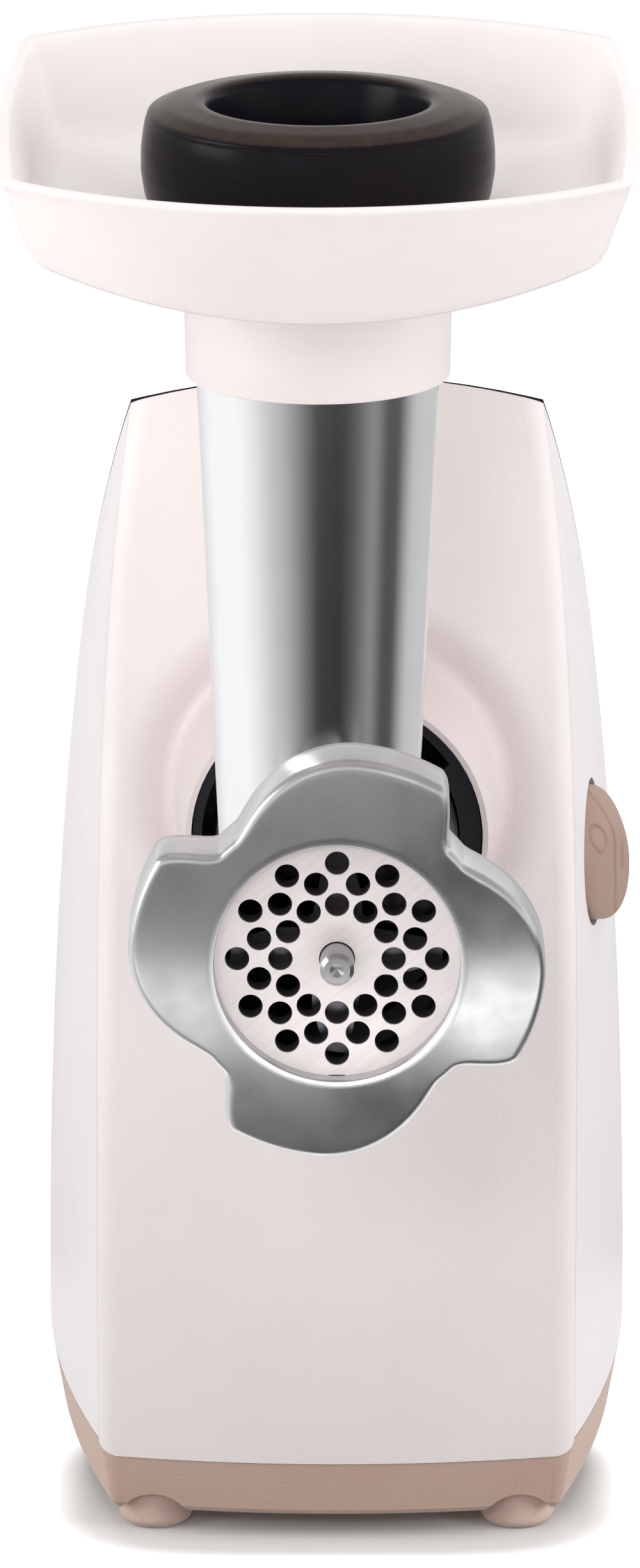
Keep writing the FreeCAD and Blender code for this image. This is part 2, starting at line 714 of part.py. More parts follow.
head_front, head_rear = num("head_front"), num("head_rear")
shoulder = num("hub_front") - 0.5
barrel = disc_y(num("barrel_radius"), head_front, shoulder)
head = barrel.fuse(tube_cone(0, tube_low, num("tube_top"))).removeSplitter()
crotch = [e for e in head.Edges if e.Curve.TypeId == "Part::GeomBSplineCurve"]
head = head.makeFillet(num("head_fillet"), crotch)
head = head.fuse(
    [
        disc_y(num("collar_radius"), head_front, head_front + num("collar_length")),
        disc_y(num("spigot_radius"), shoulder, head_rear),
    ]
)
lugs = []
for k in range(3):
    lugs.append(
        lug_sector(
            num("spigot_radius + lug_rise"), num("lug_angle"), num("groove_front") + 0.5,
            num("groove_rear") - 0.5, 120 * k
        )
    )
head = head.fuse(lugs)
head = head.cut(
    [
        disc_y(num("plate_radius") + 0.1, head_front - 1, num("plate_back")),
        disc_y(num("barrel_bore"), head_front, num("head_wall")),
        disc_y(num("bush_radius") + 0.02, head_rear - 10, head_rear + 1),
        tube_cone(num("tube_wall"), tube_low, num("tube_top") + 1),
    ]
)
key_low = num("plate_radius") - 1.6
key = Part.makeBox(3, num("plate_back") - head_front, 3, Vector(-1.5, head_front, axis_z - key_low - 3))
head = head.fuse(key.common(disc_y(num("collar_radius"), head_front, num("plate_back"))))
formed("head_casting", head)

turned(
    "head_bush",
    [
        ("journal_radius + run_clear", "head_wall"),
        ("bush_radius", "head_wall"),
        ("bush_radius", "head_rear"),
        ("journal_radius + run_clear", "head_rear"),
    ],
    z="axis_height",
)

# Auger: tapered core, helical flight, square shank and front pin, journal and hexagon behind.
core = num("auger_core")
flight_front = num("knife_back") + 0.4
flight_back = num("head_wall") - 1.5
flight_radius = num("barrel_bore - auger_clear")
flight_turns = (flight_back - flight_front - 5) / num("auger_pitch")
tooth = [(core - 2, 0), (flight_radius, 0.9), (flight_radius, 3.6), (core - 2, 4.6)]
sections = []
steps = math.ceil(12 * flight_turns)
for k in range(steps + 1):
    turn = flight_turns * k / steps
    angle = 2 * math.pi * turn
    depth = flight_front + 0.2 + num("auger_pitch") * turn
    corners = [
        Vector(r * math.cos(angle), depth + rise, axis_z + r * math.sin(angle)) for r, rise in tooth
    ]
    sections.append(Part.makePolygon(corners + corners[:1]))
flight = loft(sections)
shank = num("shank_half")
stem = Part.makeCone(
    core - 1, core + 2.5, flight_back - flight_front, Vector(0, flight_front, axis_z), Vector(0, 1, 0)
)
square = Part.makeBox(
    2 * shank, num("knife_thick") + 1.2, 2 * shank,
    Vector(-shank, num("knife_front") + 0.1, axis_z - shank)
)
pin = disc_y(num("pin_radius"), num("plate_face - pin_proud"), num("knife_back"))
pin = pin.makeChamfer(0.8, [e for e in pin.Edges if e.BoundBox.YMax < num("plate_face - pin_proud") + 0.1])
dimple = Part.makeCone(1.5, 0, 1, Vector(0, num("plate_face - pin_proud"), axis_z), Vector(0, 1, 0))
pin = pin.cut(dimple)
journal = disc_y(num("journal_radius"), flight_back - 1, num("head_rear") + 1)
hex_points = []
hex_r = num("hex_radius")
for k in range(7):
    angle = math.radians(60 * k)
    hex_points.append(Vector(hex_r * math.cos(angle), num("head_rear"), axis_z + hex_r * math.sin(angle)))
drive = Part.Face(Part.makePolygon(hex_points)).extrude(Vector(0, 12, 0))
formed("auger", stem.fuse([flight, square, pin, journal, drive]))

# Knife: four swept blades on a hub with a square eye.
blade_tip = num("barrel_bore") - 0.7
blades = []
for k in range(4):
    outline = [(2, -5), (12, -5.2), (blade_tip - 1.2, -2.4), (blade_tip - 0.6, 2.2), (11, 4.4), (2, 6)]
    points = [Vector(x, num("knife_front"), z) for x, z in outline]
    blade = Part.Face(Part.makePolygon(points + points[:1])).extrude(Vector(0, num("knife_thick"), 0))
    blade.rotate(Vector(), Vector(0, 1, 0), 90 * k)
    blade.translate(Vector(0, 0, axis_z))
    blades.append(blade)
knife = disc_y(9.6, num("knife_front"), num("knife_back")).fuse(blades)
eye = num("shank_half") + 0.08
knife = knife.cut(Part.makeBox(2 * eye, 40, 2 * eye, Vector(-eye, num("knife_front") - 20, axis_z - eye)))
formed("knife", knife)

# Grinding plate: three rings of twelve holes, the middle ring half a step round, and a key notch.
plate = disc_y(num("plate_radius"), num("plate_face"), num("plate_back"))
rim_edges = [e for e in plate.Edges if e.BoundBox.YMax < num("plate_face") + 0.1]
plate = plate.makeChamfer(0.4, rim_edges)
holes = [disc_y(num("pin_radius + pin_play"), num("plate_face") - 1, num("plate_back") + 1)]
for radius, start in ((num("ring_inner"), 90), (num("ring_middle"), 75), (num("ring_outer"), 90)):
    for k in range(12):
        angle = math.radians(start + 30 * k)
        spot = Vector(radius * math.cos(angle), num("plate_face") - 1, axis_z + radius * math.sin(angle))
        holes.append(Part.makeCylinder(num("plate_hole"), num("plate_thick") + 2, spot, Vector(0, 1, 0)))
notch_top = axis_z - key_low + 0.25
holes.append(Part.makeBox(3.4, 30, 6, Vector(-1.7, num("plate_face") - 5, notch_top - 6)))
formed("plate", plate.cut(holes))


def lobe_radius(turn):
    """Outline of the fixing ring: a rise over 46 degrees that slows down, a crest, a drop over 15."""
    rise = min((math.hypot(turn, 3) - 3) / 43, 1)
    fall = min(max((turn - 69) / 15, 0), 1)
    share = math.sin(math.pi / 2 * rise) - fall * fall * (3 - 2 * fall)
    return num("ring_valley") + num("ring_peak - ring_valley") * share


def lobe_wire(inset, y):
    """The outline moved inwards, as a closed curve at one place along the axis."""
    outline = []
    for k in range(4):
        for turn in (0, 4, 9, 16, 24, 32, 40, 50, 60, 68, 72, 75, 78, 81, 85):
            outline.append((math.radians(39.5 + 90 * k - turn), lobe_radius(turn) - inset))
    outline.sort(key=lambda pair: pair[0])
    curve = Part.BSplineCurve()
    points = [Vector(r * math.cos(a), y, axis_z + r * math.sin(a)) for a, r in outline]
    curve.interpolate(points, PeriodicFlag=True)
    return Part.Wire(curve.toShape())


lip_front = num("plate_face - ring_lip")
ring_back = num("plate_face + ring_depth")
bevel = num("ring_lean + ring_bevel")
lobes = Part.Face(lobe_wire(0, lip_front + bevel)).extrude(Vector(0, ring_back - lip_front - bevel, 0))
lobes = lobes.fuse(loft([lobe_wire(0, lip_front + bevel), lobe_wire(0.8 * bevel, lip_front)]))
dome = turned_shape(
    [
        (0, lip_front),
        (num("ring_mouth") + 2.4, lip_front),
        (num("ring_peak") + 2, lip_front + num("ring_lean")),
        (num("ring_peak") + 2, ring_back),
        (0, ring_back),
    ],
    Vector(0, 0, axis_z),
    Vector(0, 1, 0),
)
ring = lobes.common(dome)
ring = ring.cut(
    [
        disc_y(num("collar_radius") + 0.15, num("plate_face") - 0.02, ring_back + 1),
        disc_y(num("ring_mouth"), lip_front - 1, num("plate_face") + 1),
    ]
)
formed("fixing_ring", ring)


def tray_wire(height, inset):
    """Plan of the tray: two bowed sides and two strongly bowed ends that meet in corners."""
    drop = num("tray_rim") - height
    half = num("tray_half") - num("draft_side") * drop - inset
    long = num("tray_long") - num("draft_end") * drop - inset
    side = half + num("tray_side")
    end = long + num("tray_end") * half / num("tray_half")
    spots = [(half, -long), (side, 0), (half, long), (0, end)]
    spots += [(-half, long), (-side, 0), (-half, -long), (0, -end)]
    p = [tube_base + Vector(x, y, height) for x, y in spots]
    edges = []
    for k in (0, 2, 4, 6):
        edges.append(Part.Arc(p[k], p[k + 1], p[(k + 2) % 8]).toShape())
    return Part.Wire(edges)


def trough(radius, floor):
    """Cylinder along Y whose lowest line lies at the given height above the axis."""
    centre = tube_base + Vector(0, -200, floor + radius)
    return Part.makeCylinder(radius, 400, centre, Vector(0, 1, 0))


tray_wall = num("tray_wall")
tray_rim, tray_floor = num("tray_rim"), num("tray_floor")
tray_low = tray_floor - 4
bowl = loft([tray_wire(tray_low, 0), tray_wire(tray_rim, 0)], True)
bowl = bowl.common(trough(num("floor_radius"), tray_floor))
well = loft([tray_wire(tray_low, tray_wall), tray_wire(tray_rim + 1, tray_wall)], True)
well = well.common(trough(num("floor_radius") - tray_wall, tray_floor + tray_wall))
seat = tray_floor + num("mouth_rise")
tray_collar = num("tray_collar")
collar_low = num("collar_bottom")
tube_top = num("tube_top")
mouth = tube_at(tube_top) - num("tube_wall")
collar = Part.makeCone(
    tray_collar - 0.5, tray_collar, tray_floor + 1.4 - collar_low, tube_base + Vector(0, 0, collar_low)
)
lip = Part.makeCylinder(mouth + 2.6, seat - tray_floor, tube_base + Vector(0, 0, tray_floor))
socket = Part.makeCylinder(
    tube_at(tube_top) + num("socket_clear"), tube_top + 1.2 - collar_low,
    tube_base + Vector(0, 0, collar_low - 1)
)
throat = Part.makeCylinder(mouth, 80, tube_base + Vector(0, 0, tube_top - 5))
tray = bowl.cut(well).fuse([collar, lip]).cut([socket, throat])
formed("tray", tray)

# Pusher: a hollow stem with a round head; its foot is closed.
clear = num("pusher_clear")
stem_wall = num("pusher_wall")
foot_z = num("pusher_foot")
stem_top = mouth - clear
stem_foot = tube_at(foot_z) - num("tube_wall") - clear
belly_r = num("pusher_belly")
top_z = num("pusher_top")
head_low = seat + 0.3
pusher = turned_shape(
    [
        (0, foot_z),
        (stem_foot - 1.5, foot_z),
        (stem_foot, foot_z + 1.5),
        (stem_top, tube_top),
        (stem_top, head_low),
        (belly_r - 2, head_low, 0.5),
        (belly_r, head_low + 10, 0.25),
        (belly_r - 1.4, top_z - 2.4, 0.7),
        (num("pusher_mouth") + 1, top_z, 0.25),
        (num("pusher_mouth") - 0.6, top_z - 1.2),
        (stem_top - stem_wall, top_z - 12),
        (stem_top - stem_wall, tube_top),
        (stem_foot - stem_wall, foot_z + 5),
        (0, foot_z + 3),
    ],
    tube_base,
    Vector(0, 0, 1),
)
formed("pusher", pusher)

# Drive spindle: the socket that takes the auger's hexagon, and the shaft of the output gear.
bearing_front, bearing_back = "frame_front - 0.5", "frame_back + 1"
spindle_head = rod_y("spindle_head", "spindle_socket", "socket_front", "frame_front - 1.5", z="axis_height")
spindle_stem = rod_y(
    "spindle_stem", "spindle_radius", "frame_front - 2", "rear_plate_back + 1", z="axis_height"
)
spindle_solid = join("spindle_solid", spindle_head, spindle_stem)
hex_bore = doc.addObject("Part::Prism", "spindle_bore")
hex_bore.Polygon = 6
hex_bore.Placement = Placement(Vector(), ALONG_Y)
bind(hex_bore, Circumradius="hex_radius + 0.15", Height="head_rear + 13 - socket_front")
put(hex_bore, "0", "socket_front - 0.5", "axis_height")
piece("drive_spindle", cut("drive_spindle", spindle_solid, hex_bore))


def bush(name, inner, outer_radius, start, end, z):
    shell = rod_y(f"{name}_out", outer_radius, start, end, z=z)
    bore = rod_y(f"{name}_in", inner, f"{start} - 1", f"{end} + 1", z=z)
    return cut(name, shell, bore)


front_bush = bush(
    "bush_front", "spindle_radius + run_clear", "bush_radius", bearing_front, bearing_back, "axis_height"
)
rear_bush = bush(
    "bush_rear", "spindle_radius + run_clear", "bush_radius", "rear_plate - 1", "rear_plate_back + 0.5",
    "axis_height"
)
piece("spindle_bushes", group("spindle_bushes", front_bush, rear_bush))

# Gear frame: two plates with pillars and long screws.
PILLARS = [
    (f"{sx} * (frame_half - 6)", z)
    for sx in (-1, 1)
    for z in ("axis_height + frame_over - 6", "motor_z - frame_under + 6")
]


def frame_plate(name, start, end, bores):
    plate_item = block(
        f"{name}_blank", ("-frame_half", "frame_half"), (start, end),
        ("motor_z - frame_under", "axis_height + frame_over")
    )
    tools = []
    for i, (radius, z) in enumerate(bores):
        tools.append(rod_y(f"{name}_bore{i}", radius, f"{start} - 1", f"{end} + 1", z=z))
    for i, (x, z) in enumerate(PILLARS):
        tools.append(rod_y(f"{name}_hole{i}", "2.1", f"{start} - 1", f"{end} + 1", x=x, z=z))
    return tools, plate_item


axle_bores = [("axle_radius + 0.02", "axle_upper_z"), ("axle_radius + 0.02", "axle_lower_z")]
tools, blank = frame_plate(
    "gear_plate_front", "frame_front", "frame_back", [("bush_radius + 0.02", "axis_height")] + axle_bores
)
piece("gear_plate_front", cut("gear_plate_front", blank, *tools))
tools, blank = frame_plate(
    "gear_plate_rear", "rear_plate", "rear_plate_back",
    [("bush_radius + 0.02", "axis_height"), ("rotor_shaft_radius + 4.02", "motor_z")] + axle_bores
)
BOLTS = [
    (f"{sx} * bolt_offset", f"motor_z + {sz} * bolt_offset") for sx in (-1, 1) for sz in (-1, 1)
]
lower_apron = block(
    "rear_apron", ("-frame_half", "frame_half"), ("rear_plate", "rear_plate_back"),
    ("motor_z - stator_half", "motor_z - frame_under + 1")
)
for i, (x, z) in enumerate(BOLTS):
    tools.append(
        rod_y(f"rear_bolt{i}", "bolt_radius + 0.1", "rear_plate - 1", "rear_plate_back + 1", x=x, z=z)
    )
piece("gear_plate_rear", cut("gear_plate_rear", join("rear_plate_blank", blank, lower_apron), *tools))

pillars = []
screws = []
for i, (x, z) in enumerate(PILLARS):
    shell = rod_y(f"pillar{i}_out", "4.5", "frame_back + 0.05", "rear_plate - 0.05", x=x, z=z)
    bore = rod_y(f"pillar{i}_in", "2.1", "frame_back", "rear_plate", x=x, z=z)
    pillars.append(cut(f"pillar{i}", shell, bore))
    shank_item = rod_y(f"frame_screw{i}_shank", "1.9", "frame_front - 1", "rear_plate_back", x=x, z=z)
    head_item = rod_y(f"frame_screw{i}_head", "3.6", "frame_front - 2.5", "frame_front - 0.05", x=x, z=z)
    screws.append(join(f"frame_screw{i}", shank_item, head_item))
piece("frame_pillars", group("frame_pillars", *pillars))
piece("frame_screws", group("frame_screws", *screws))

PRESSURE = math.radians(25)


def gear_outline(module, teeth):
    """Corners of an involute gear, one tooth pointing up; the play is taken off both flanks."""
    pitch = module * teeth / 2
    base_circle = pitch * math.cos(PRESSURE)
    tip, root = pitch + 0.8 * module, pitch - 1.05 * module

    def involute(radius):
        angle = math.acos(min(base_circle / radius, 1))
        return math.tan(angle) - angle

    half = math.pi / (2 * teeth) - num("backlash") / (2 * pitch) + involute(pitch)
    start = max(base_circle, root + 0.05)
    flank = [start + (tip - start) * k / 3 for k in range(4)]
    profile_points = [(root, half)] + [(r, half - involute(r)) for r in flank]
    one = [(r, -a) for r, a in profile_points] + [(r, a) for r, a in reversed(profile_points)]
    points = []
    for k in range(teeth):
        middle = 2 * math.pi * k / teeth
        points += [(r, middle + a) for r, a in one]
    return points


def gear_solid(module, teeth, front, back, height, gap_down=False):
    """A spur gear across a span of depth; it shows a tooth upwards or a gap downwards."""
    shift = math.pi + math.pi / teeth if gap_down else 0
    corners = []
    for radius, angle in gear_outline(module, teeth):
        turn = angle + shift
        corners.append(Vector(radius * math.sin(turn), front, height + radius * math.cos(turn)))
    face = Part.Face(Part.makePolygon(corners + corners[:1]))
    return face.extrude(Vector(0, back - front, 0))


def bore_y(radius, front, back, height):
    return Part.makeCylinder(radius, back - front + 2, Vector(0, front - 1, height), Vector(0, 1, 0))


upper_z, lower_z, motor_z = num("axle_upper_z"), num("axle_lower_z"), num("motor_z")
first_front = num("frame_back") + 1.6
module_out, module_mid, module_first = num("module_out"), num("module_mid"), num("module_first")
spans = {"out": (first_front, first_front + 12), "mid": (first_front + 14, first_front + 21)}
spans["first"] = (first_front + 22.4, first_front + 28.4)
out_a, out_b = spans["out"]
mid_a, mid_b = spans["mid"]
first_a, first_b = spans["first"]
output = gear_solid(module_out, STAGES["out"][0], out_a, out_b, axis_z, True)
output = output.cut(bore_y(num("spindle_radius") + 0.02, out_a, out_b, axis_z))
formed("output_gear", output)

axle_fit = num("axle_radius + run_clear")
middle = gear_solid(module_mid, STAGES["mid"][0], mid_a, mid_b, upper_z, True)
middle = middle.fuse(gear_solid(module_out, STAGES["out"][1], out_a - 0.6, mid_a, upper_z))
formed("middle_gear", middle.cut(bore_y(axle_fit, out_a - 2, mid_b + 2, upper_z)))
first = gear_solid(module_first, STAGES["first"][0], first_a, first_b, lower_z, True)
first = first.fuse(gear_solid(module_mid, STAGES["mid"][1], mid_a - 0.6, first_a, lower_z))
formed("first_gear", first.cut(bore_y(axle_fit, mid_a - 2, first_b + 2, lower_z)))
pinion = gear_solid(module_first, STAGES["first"][1], first_a - 0.5, first_b + 0.5, motor_z)
pinion = pinion.cut(bore_y(num("rotor_shaft_radius") - 1.98, first_a - 2, first_b + 2, motor_z))
formed("motor_pinion", pinion)

axles = []
for name, z in (("axle_upper", "axle_upper_z"), ("axle_lower", "axle_lower_z")):
    axles.append(rod_y(name, "axle_radius", "frame_front", "rear_plate_back", z=z))
piece("gear_axles", group("gear_axles", *axles))

# Motor: rotor on its shaft, laminated stator with two field coils, brushes and end bracket.
shaft_front = rod_y("shaft_front", "rotor_shaft_radius - 2", f"{first_a - 1}", "rear_plate", z="motor_z")
shaft_rear = rod_y("shaft_rear", "rotor_shaft_radius", "rear_plate - 0.8", "bracket_back + 4", z="motor_z")
piece("rotor_shaft", join("rotor_shaft", shaft_front, shaft_rear))

core_blank = rod_y("core_blank", "rotor_radius", "stator_front + 2", "stator_back - 2", z="motor_z")
core_bore = rod_y(
    "core_bore", "rotor_shaft_radius + 0.02", "stator_front + 1", "stator_back - 1", z="motor_z"
)
core_solid = cut("core_solid", core_blank, core_bore)
slot_tools = []
for k in range(12):
    slot = doc.addObject("Part::Box", f"core_slot{k}")
    bind(slot, Length="2.4", Width="stator_length", Height="7")
    turn = Rotation(Vector(0, 1, 0), 30 * k)
    offset = turn.multVec(Vector(-1.2, 0, num("rotor_radius") - 6.5))
    slot.Placement = Placement(Vector(), turn)
    put(slot, f"{offset.x}", "stator_front", f"motor_z + {offset.z}")
    slot_tools.append(slot)
piece("rotor_core", cut("rotor_core", core_solid, *slot_tools))

windings = []
for name, start, end in (
    ("winding_front", "stator_front - 6", "stator_front + 1.9"),
    ("winding_rear", "stator_back - 1.9", "stator_back + 6"),
):
    windings.append(bush(name, "rotor_shaft_radius + 0.02", "rotor_radius - 3", start, end, "motor_z"))
piece("rotor_windings", group("rotor_windings", *windings))
piece(
    "commutator",
    bush("commutator", "rotor_shaft_radius + 0.02", "11", "stator_back + 7", "stator_back + 17", "motor_z"),
)

fan_at = "rear_plate_back + 2"
fan_hub = bush("fan_hub", "rotor_shaft_radius + 0.02", "9", fan_at, "rear_plate_back + 9", "motor_z")
fan_disc = bush("fan_disc", "8.5", "rotor_radius + 6", fan_at, "rear_plate_back + 3.6", "motor_z")
fan_blades = []
for k in range(9):
    vane = doc.addObject("Part::Box", f"fan_vane{k}")
    bind(vane, Length="1.6", Width="5.4", Height="rotor_radius - 3")
    turn = Rotation(Vector(0, 1, 0), 40 * k)
    offset = turn.multVec(Vector(-0.8, 0, 8.6))
    vane.Placement = Placement(Vector(), turn)
    put(vane, f"{offset.x}", "rear_plate_back + 3.4", f"motor_z + {offset.z}")
    fan_blades.append(vane)
piece("cooling_fan", join("cooling_fan", fan_hub, fan_disc, *fan_blades))

bearings = [
    bush("bearing_front", "rotor_shaft_radius + run_clear", "rotor_shaft_radius + 4", "rear_plate",
         "rear_plate_back + 1", "motor_z"),
    bush("bearing_rear", "rotor_shaft_radius + run_clear", "rotor_shaft_radius + 4", "bracket_front",
         "bracket_back", "motor_z"),
]
piece("motor_bearings", group("motor_bearings", *bearings))

stator_blank = block(
    "stator_blank", ("-stator_half", "stator_half"), ("stator_front", "stator_back"),
    ("motor_z - stator_half", "motor_z + stator_half")
)
stator_tools = [
    rod_y("stator_bore", "rotor_radius + air_gap", "stator_front - 1", "stator_back + 1", z="motor_z")
]
COIL_IN, COIL_OUT, COIL_LOW, COIL_HIGH = 20, 29, 13, 25
for sx in (-1, 1):
    for sz in (-1, 1):
        xs = sorted((sx * COIL_IN, sx * COIL_OUT))
        zs = sorted((sz * COIL_LOW, sz * COIL_HIGH))
        stator_tools.append(
            block(
                f"stator_slot{sx + 1}{sz + 1}", (f"{xs[0]}", f"{xs[1]}"),
                ("stator_front - 1", "stator_back + 1"), (f"motor_z + {zs[0]}", f"motor_z + {zs[1]}")
            )
        )
for i, (x, z) in enumerate(BOLTS):
    stator_tools.append(
        rod_y(f"stator_bolt{i}", "bolt_radius + 0.1", "stator_front - 1", "stator_back + 1", x=x, z=z)
    )
piece("stator_core", cut("stator_core", stator_blank, *stator_tools))

coils = []
fit = 0.15
for sz in (-1, 1):
    zs = sorted((sz * (COIL_LOW + fit), sz * (COIL_HIGH - fit)))
    depth_z = (f"motor_z + {zs[0]}", f"motor_z + {zs[1]}")
    out_x, in_x = COIL_OUT - fit, COIL_IN + fit
    ring_out = block(
        f"coil_out{sz + 1}", (f"{-out_x}", f"{out_x}"), ("stator_front - 6.5", "stator_back + 6.5"), depth_z
    )
    ring_in = block(
        f"coil_in{sz + 1}", (f"{-in_x}", f"{in_x}"), ("stator_front - 0.2", "stator_back + 0.2"),
        (f"motor_z + {zs[0] - 1}", f"motor_z + {zs[1] + 1}")
    )
    coils.append(cut(f"coil{sz + 1}", ring_out, ring_in))
coil_relief = rod_y("coil_relief", "rotor_radius - 2", "stator_front - 20", "stator_back + 20", z="motor_z")
piece("field_coils", cut("field_coils", group("coil_pair", *coils), coil_relief))

spacers = []
bolts = []
for i, (x, z) in enumerate(BOLTS):
    for tag, start, end in (
        ("a", "rear_plate_back + 0.05", "stator_front - 0.05"),
        ("b", "stator_back + 0.05", "bracket_front - 0.05"),
    ):
        shell = rod_y(f"spacer{i}{tag}_out", "3.8", start, end, x=x, z=z)
        bore = rod_y(f"spacer{i}{tag}_in", "bolt_radius + 0.1", f"{start} - 1", f"{end} + 1", x=x, z=z)
        spacers.append(cut(f"spacer{i}{tag}", shell, bore))
    shank_item = rod_y(f"motor_bolt{i}_shank", "bolt_radius", "rear_plate", "bracket_back + 1", x=x, z=z)
    head_item = rod_y(f"motor_bolt{i}_head", "3.6", "bracket_back + 0.05", "bracket_back + 2.6", x=x, z=z)
    bolts.append(join(f"motor_bolt{i}", shank_item, head_item))
piece("motor_spacers", group("motor_spacers", *spacers))
piece("motor_bolts", group("motor_bolts", *bolts))

bracket_blank = block(
    "bracket_blank", ("-stator_half", "stator_half"), ("bracket_front", "bracket_back"),
    ("motor_z - stator_half", "motor_z + stator_half")
)
bracket_tools = [
    rod_y("bracket_bore", "rotor_shaft_radius + 4.02", "bracket_front - 1", "bracket_back + 1", z="motor_z")
]
for tag, xs, zs in (
    ("top", ("-18", "18"), ("12", "stator_half + 1")),
    ("low", ("-18", "18"), ("-stator_half - 1", "-12")),
    ("left", ("-stator_half - 1", "-24"), ("-18", "18")),
    ("right", ("24", "stator_half + 1"), ("-18", "18")),
):
    bracket_tools.append(
        block(f"bracket_{tag}", xs, ("bracket_front - 1", "bracket_back + 1"),
              (f"motor_z + {zs[0]}", f"motor_z + {zs[1]}"))
    )
for i, (x, z) in enumerate(BOLTS):
    bracket_tools.append(
        rod_y(f"bracket_bolt{i}", "bolt_radius + 0.1", "bracket_front - 1", "bracket_back + 1", x=x, z=z)
    )
piece("end_bracket", cut("end_bracket", bracket_blank, *bracket_tools))

holders = []
brushes = []
for sx in (-1, 1):
    near, far = sorted((sx * 12.5, sx * 31))
    shell = block(
        f"holder_out{sx + 1}", (f"{near}", f"{far}"), ("stator_back + 7.2", "bracket_front - 0.1"),
        ("motor_z - 5.5", "motor_z + 5.5")
    )
    bore = block(
        f"holder_in{sx + 1}", (f"{near - 1}", f"{far + 1}"), ("stator_back + 8.9", "stator_back + 15.1"),
        ("motor_z - 3.6", "motor_z + 3.6")
    )
    holders.append(cut(f"holder{sx + 1}", shell, bore))
    near, far = sorted((sx * 11.6, sx * 29))
    brushes.append(
        block(f"brush{sx + 1}", (f"{near}", f"{far}"), ("stator_back + 9", "stator_back + 15"),
              ("motor_z - 3.5", "motor_z + 3.5"))
    )
piece("brush_holders", group("brush_holders", *holders))
piece("carbon_brushes", group("carbon_brushes", *brushes))

# Cradle that carries the motor on the base, with its four screws.
cradle_a, cradle_b = "stator_front + 6", "stator_back - 6"
cradle_body = block(
    "cradle_body", ("-24", "24"), (cradle_a, cradle_b),
    ("floor_inside + 0.1", "motor_z - stator_half - 0.1")
)
cradle_flange = block(
    "cradle_flange", ("-36", "36"), (cradle_a, cradle_b), ("floor_inside + 0.1", "floor_inside + 4")
)
cradle_void = block(
    "cradle_void", ("-20", "20"), (f"{cradle_a} - 1", f"{cradle_b} + 1"),
    ("floor_inside + 4", "motor_z - stator_half - 4")
)
cradle_tools = [cradle_void]
cradle_screws = []
for i, (sx, y) in enumerate(
    (sx, y) for sx in (-1, 1) for y in ("stator_front + 12", "stator_back - 12")
):
    x = f"{sx} * 30"
    cradle_tools.append(rod_z(f"cradle_hole{i}", "1.9", "floor_inside", "floor_inside + 6", x=x, y=y))
    shank_item = rod_z(f"cradle_screw{i}_shank", "1.7", "base_bottom - 0.5", "floor_inside + 4", x=x, y=y)
    head_item = rod_z(f"cradle_screw{i}_head", "3.4", "base_bottom - 2", "base_bottom - 0.05", x=x, y=y)
    cradle_screws.append(join(f"cradle_screw{i}", shank_item, head_item))
piece("motor_cradle", cut("motor_cradle", join("cradle_solid", cradle_body, cradle_flange), *cradle_tools))
piece("cradle_screws", group("cradle_screws", *cradle_screws))
capacitor = block(
    "capacitor", ("-34", "-8"), ("stator_front - 22", "stator_front - 8"),
    ("floor_inside + 0.1", "floor_inside + 18")
)
piece("capacitor", capacitor)

# Switch: a round rocker with a crease, on a standing pin, and the housing that holds the pin.
pivot = num("switch_pivot")
rocker_r = num("switch_radius")
crest = num("switch_crest")
plan = [(-10, -rocker_r - 1), (0.2, -rocker_r - 1), (crest, 0), (crest + 4, rocker_r + 1)]
plan.append((-10, rocker_r + 1))
ridge = Part.Face(Part.makePolygon([Vector(x, y, -rocker_r - 1) for x, y in plan + plan[:1]]))
ridge = ridge.extrude(Vector(0, 0, 2 * rocker_r + 2))
dome_r = 1.9 * rocker_r
dome = Part.makeSphere(dome_r, Vector(crest + 2 - dome_r, 0.4 * rocker_r, 0))
rocker = Part.makeCylinder(rocker_r, 30, Vector(-10, 0, 0), Vector(1, 0, 0)).common([ridge]).common(dome)
rocker = rocker.cut(Part.makeCylinder(1.56, 60, Vector(-pivot, 0, -30)))
rocker.Placement = switch_place
formed("switch_rocker", rocker)

switch_pin = Part.makeCylinder(1.5, 2 * rocker_r + 6, Vector(-pivot, 0, -rocker_r - 3))
switch_pin.Placement = switch_place
formed("switch_pin", switch_pin)

ear_low, ear_high = rocker_r + 0.6, rocker_r + 4.6
housing = Part.makeBox(5, 30, 2 * ear_high, Vector(-18.5, -15, -ear_high))
for sz in (-1, 1):
    low = min(sz * ear_low, sz * ear_high)
    housing = housing.fuse(Part.makeBox(12.5, 8, ear_high - ear_low, Vector(-15.5, -4, low)))
housing = housing.cut(Part.makeCylinder(1.52, 80, Vector(-pivot, 0, -40)))
housing.Placement = switch_place
formed("switch_housing", housing)

# Head release button on its stem.
turned(
    "release_button",
    [
        ("0", "button_front"),
        ("button_radius - 1", "button_front"),
        ("button_radius", "button_front + 1"),
        ("button_radius", "button_back"),
        ("3", "button_back"),
        ("3", "guide_back + 3"),
        ("0", "guide_back + 3"),
    ],
    x="tube_shift",
    z="button_z",
)

doc.recompute()

os.makedirs("parts", exist_ok=True)
faults = []
for item in doc.Objects:
    if "Invalid" in item.State or "Error" in item.State:
        faults.append(item.Name)
for label, item in PIECES.items():
    if item.Shape.isNull() or not item.Shape.isValid():
        faults.append(label)
if faults:
    raise RuntimeError(f"not built: {faults}")
for label, item in PIECES.items():
    item.Shape.exportStep(f"parts/{label}.step")
    print(label, len(item.Shape.Solids), "solid(s)", round(item.Shape.Volume / 1000, 2), "cm3")
print(len(PIECES), "pieces")
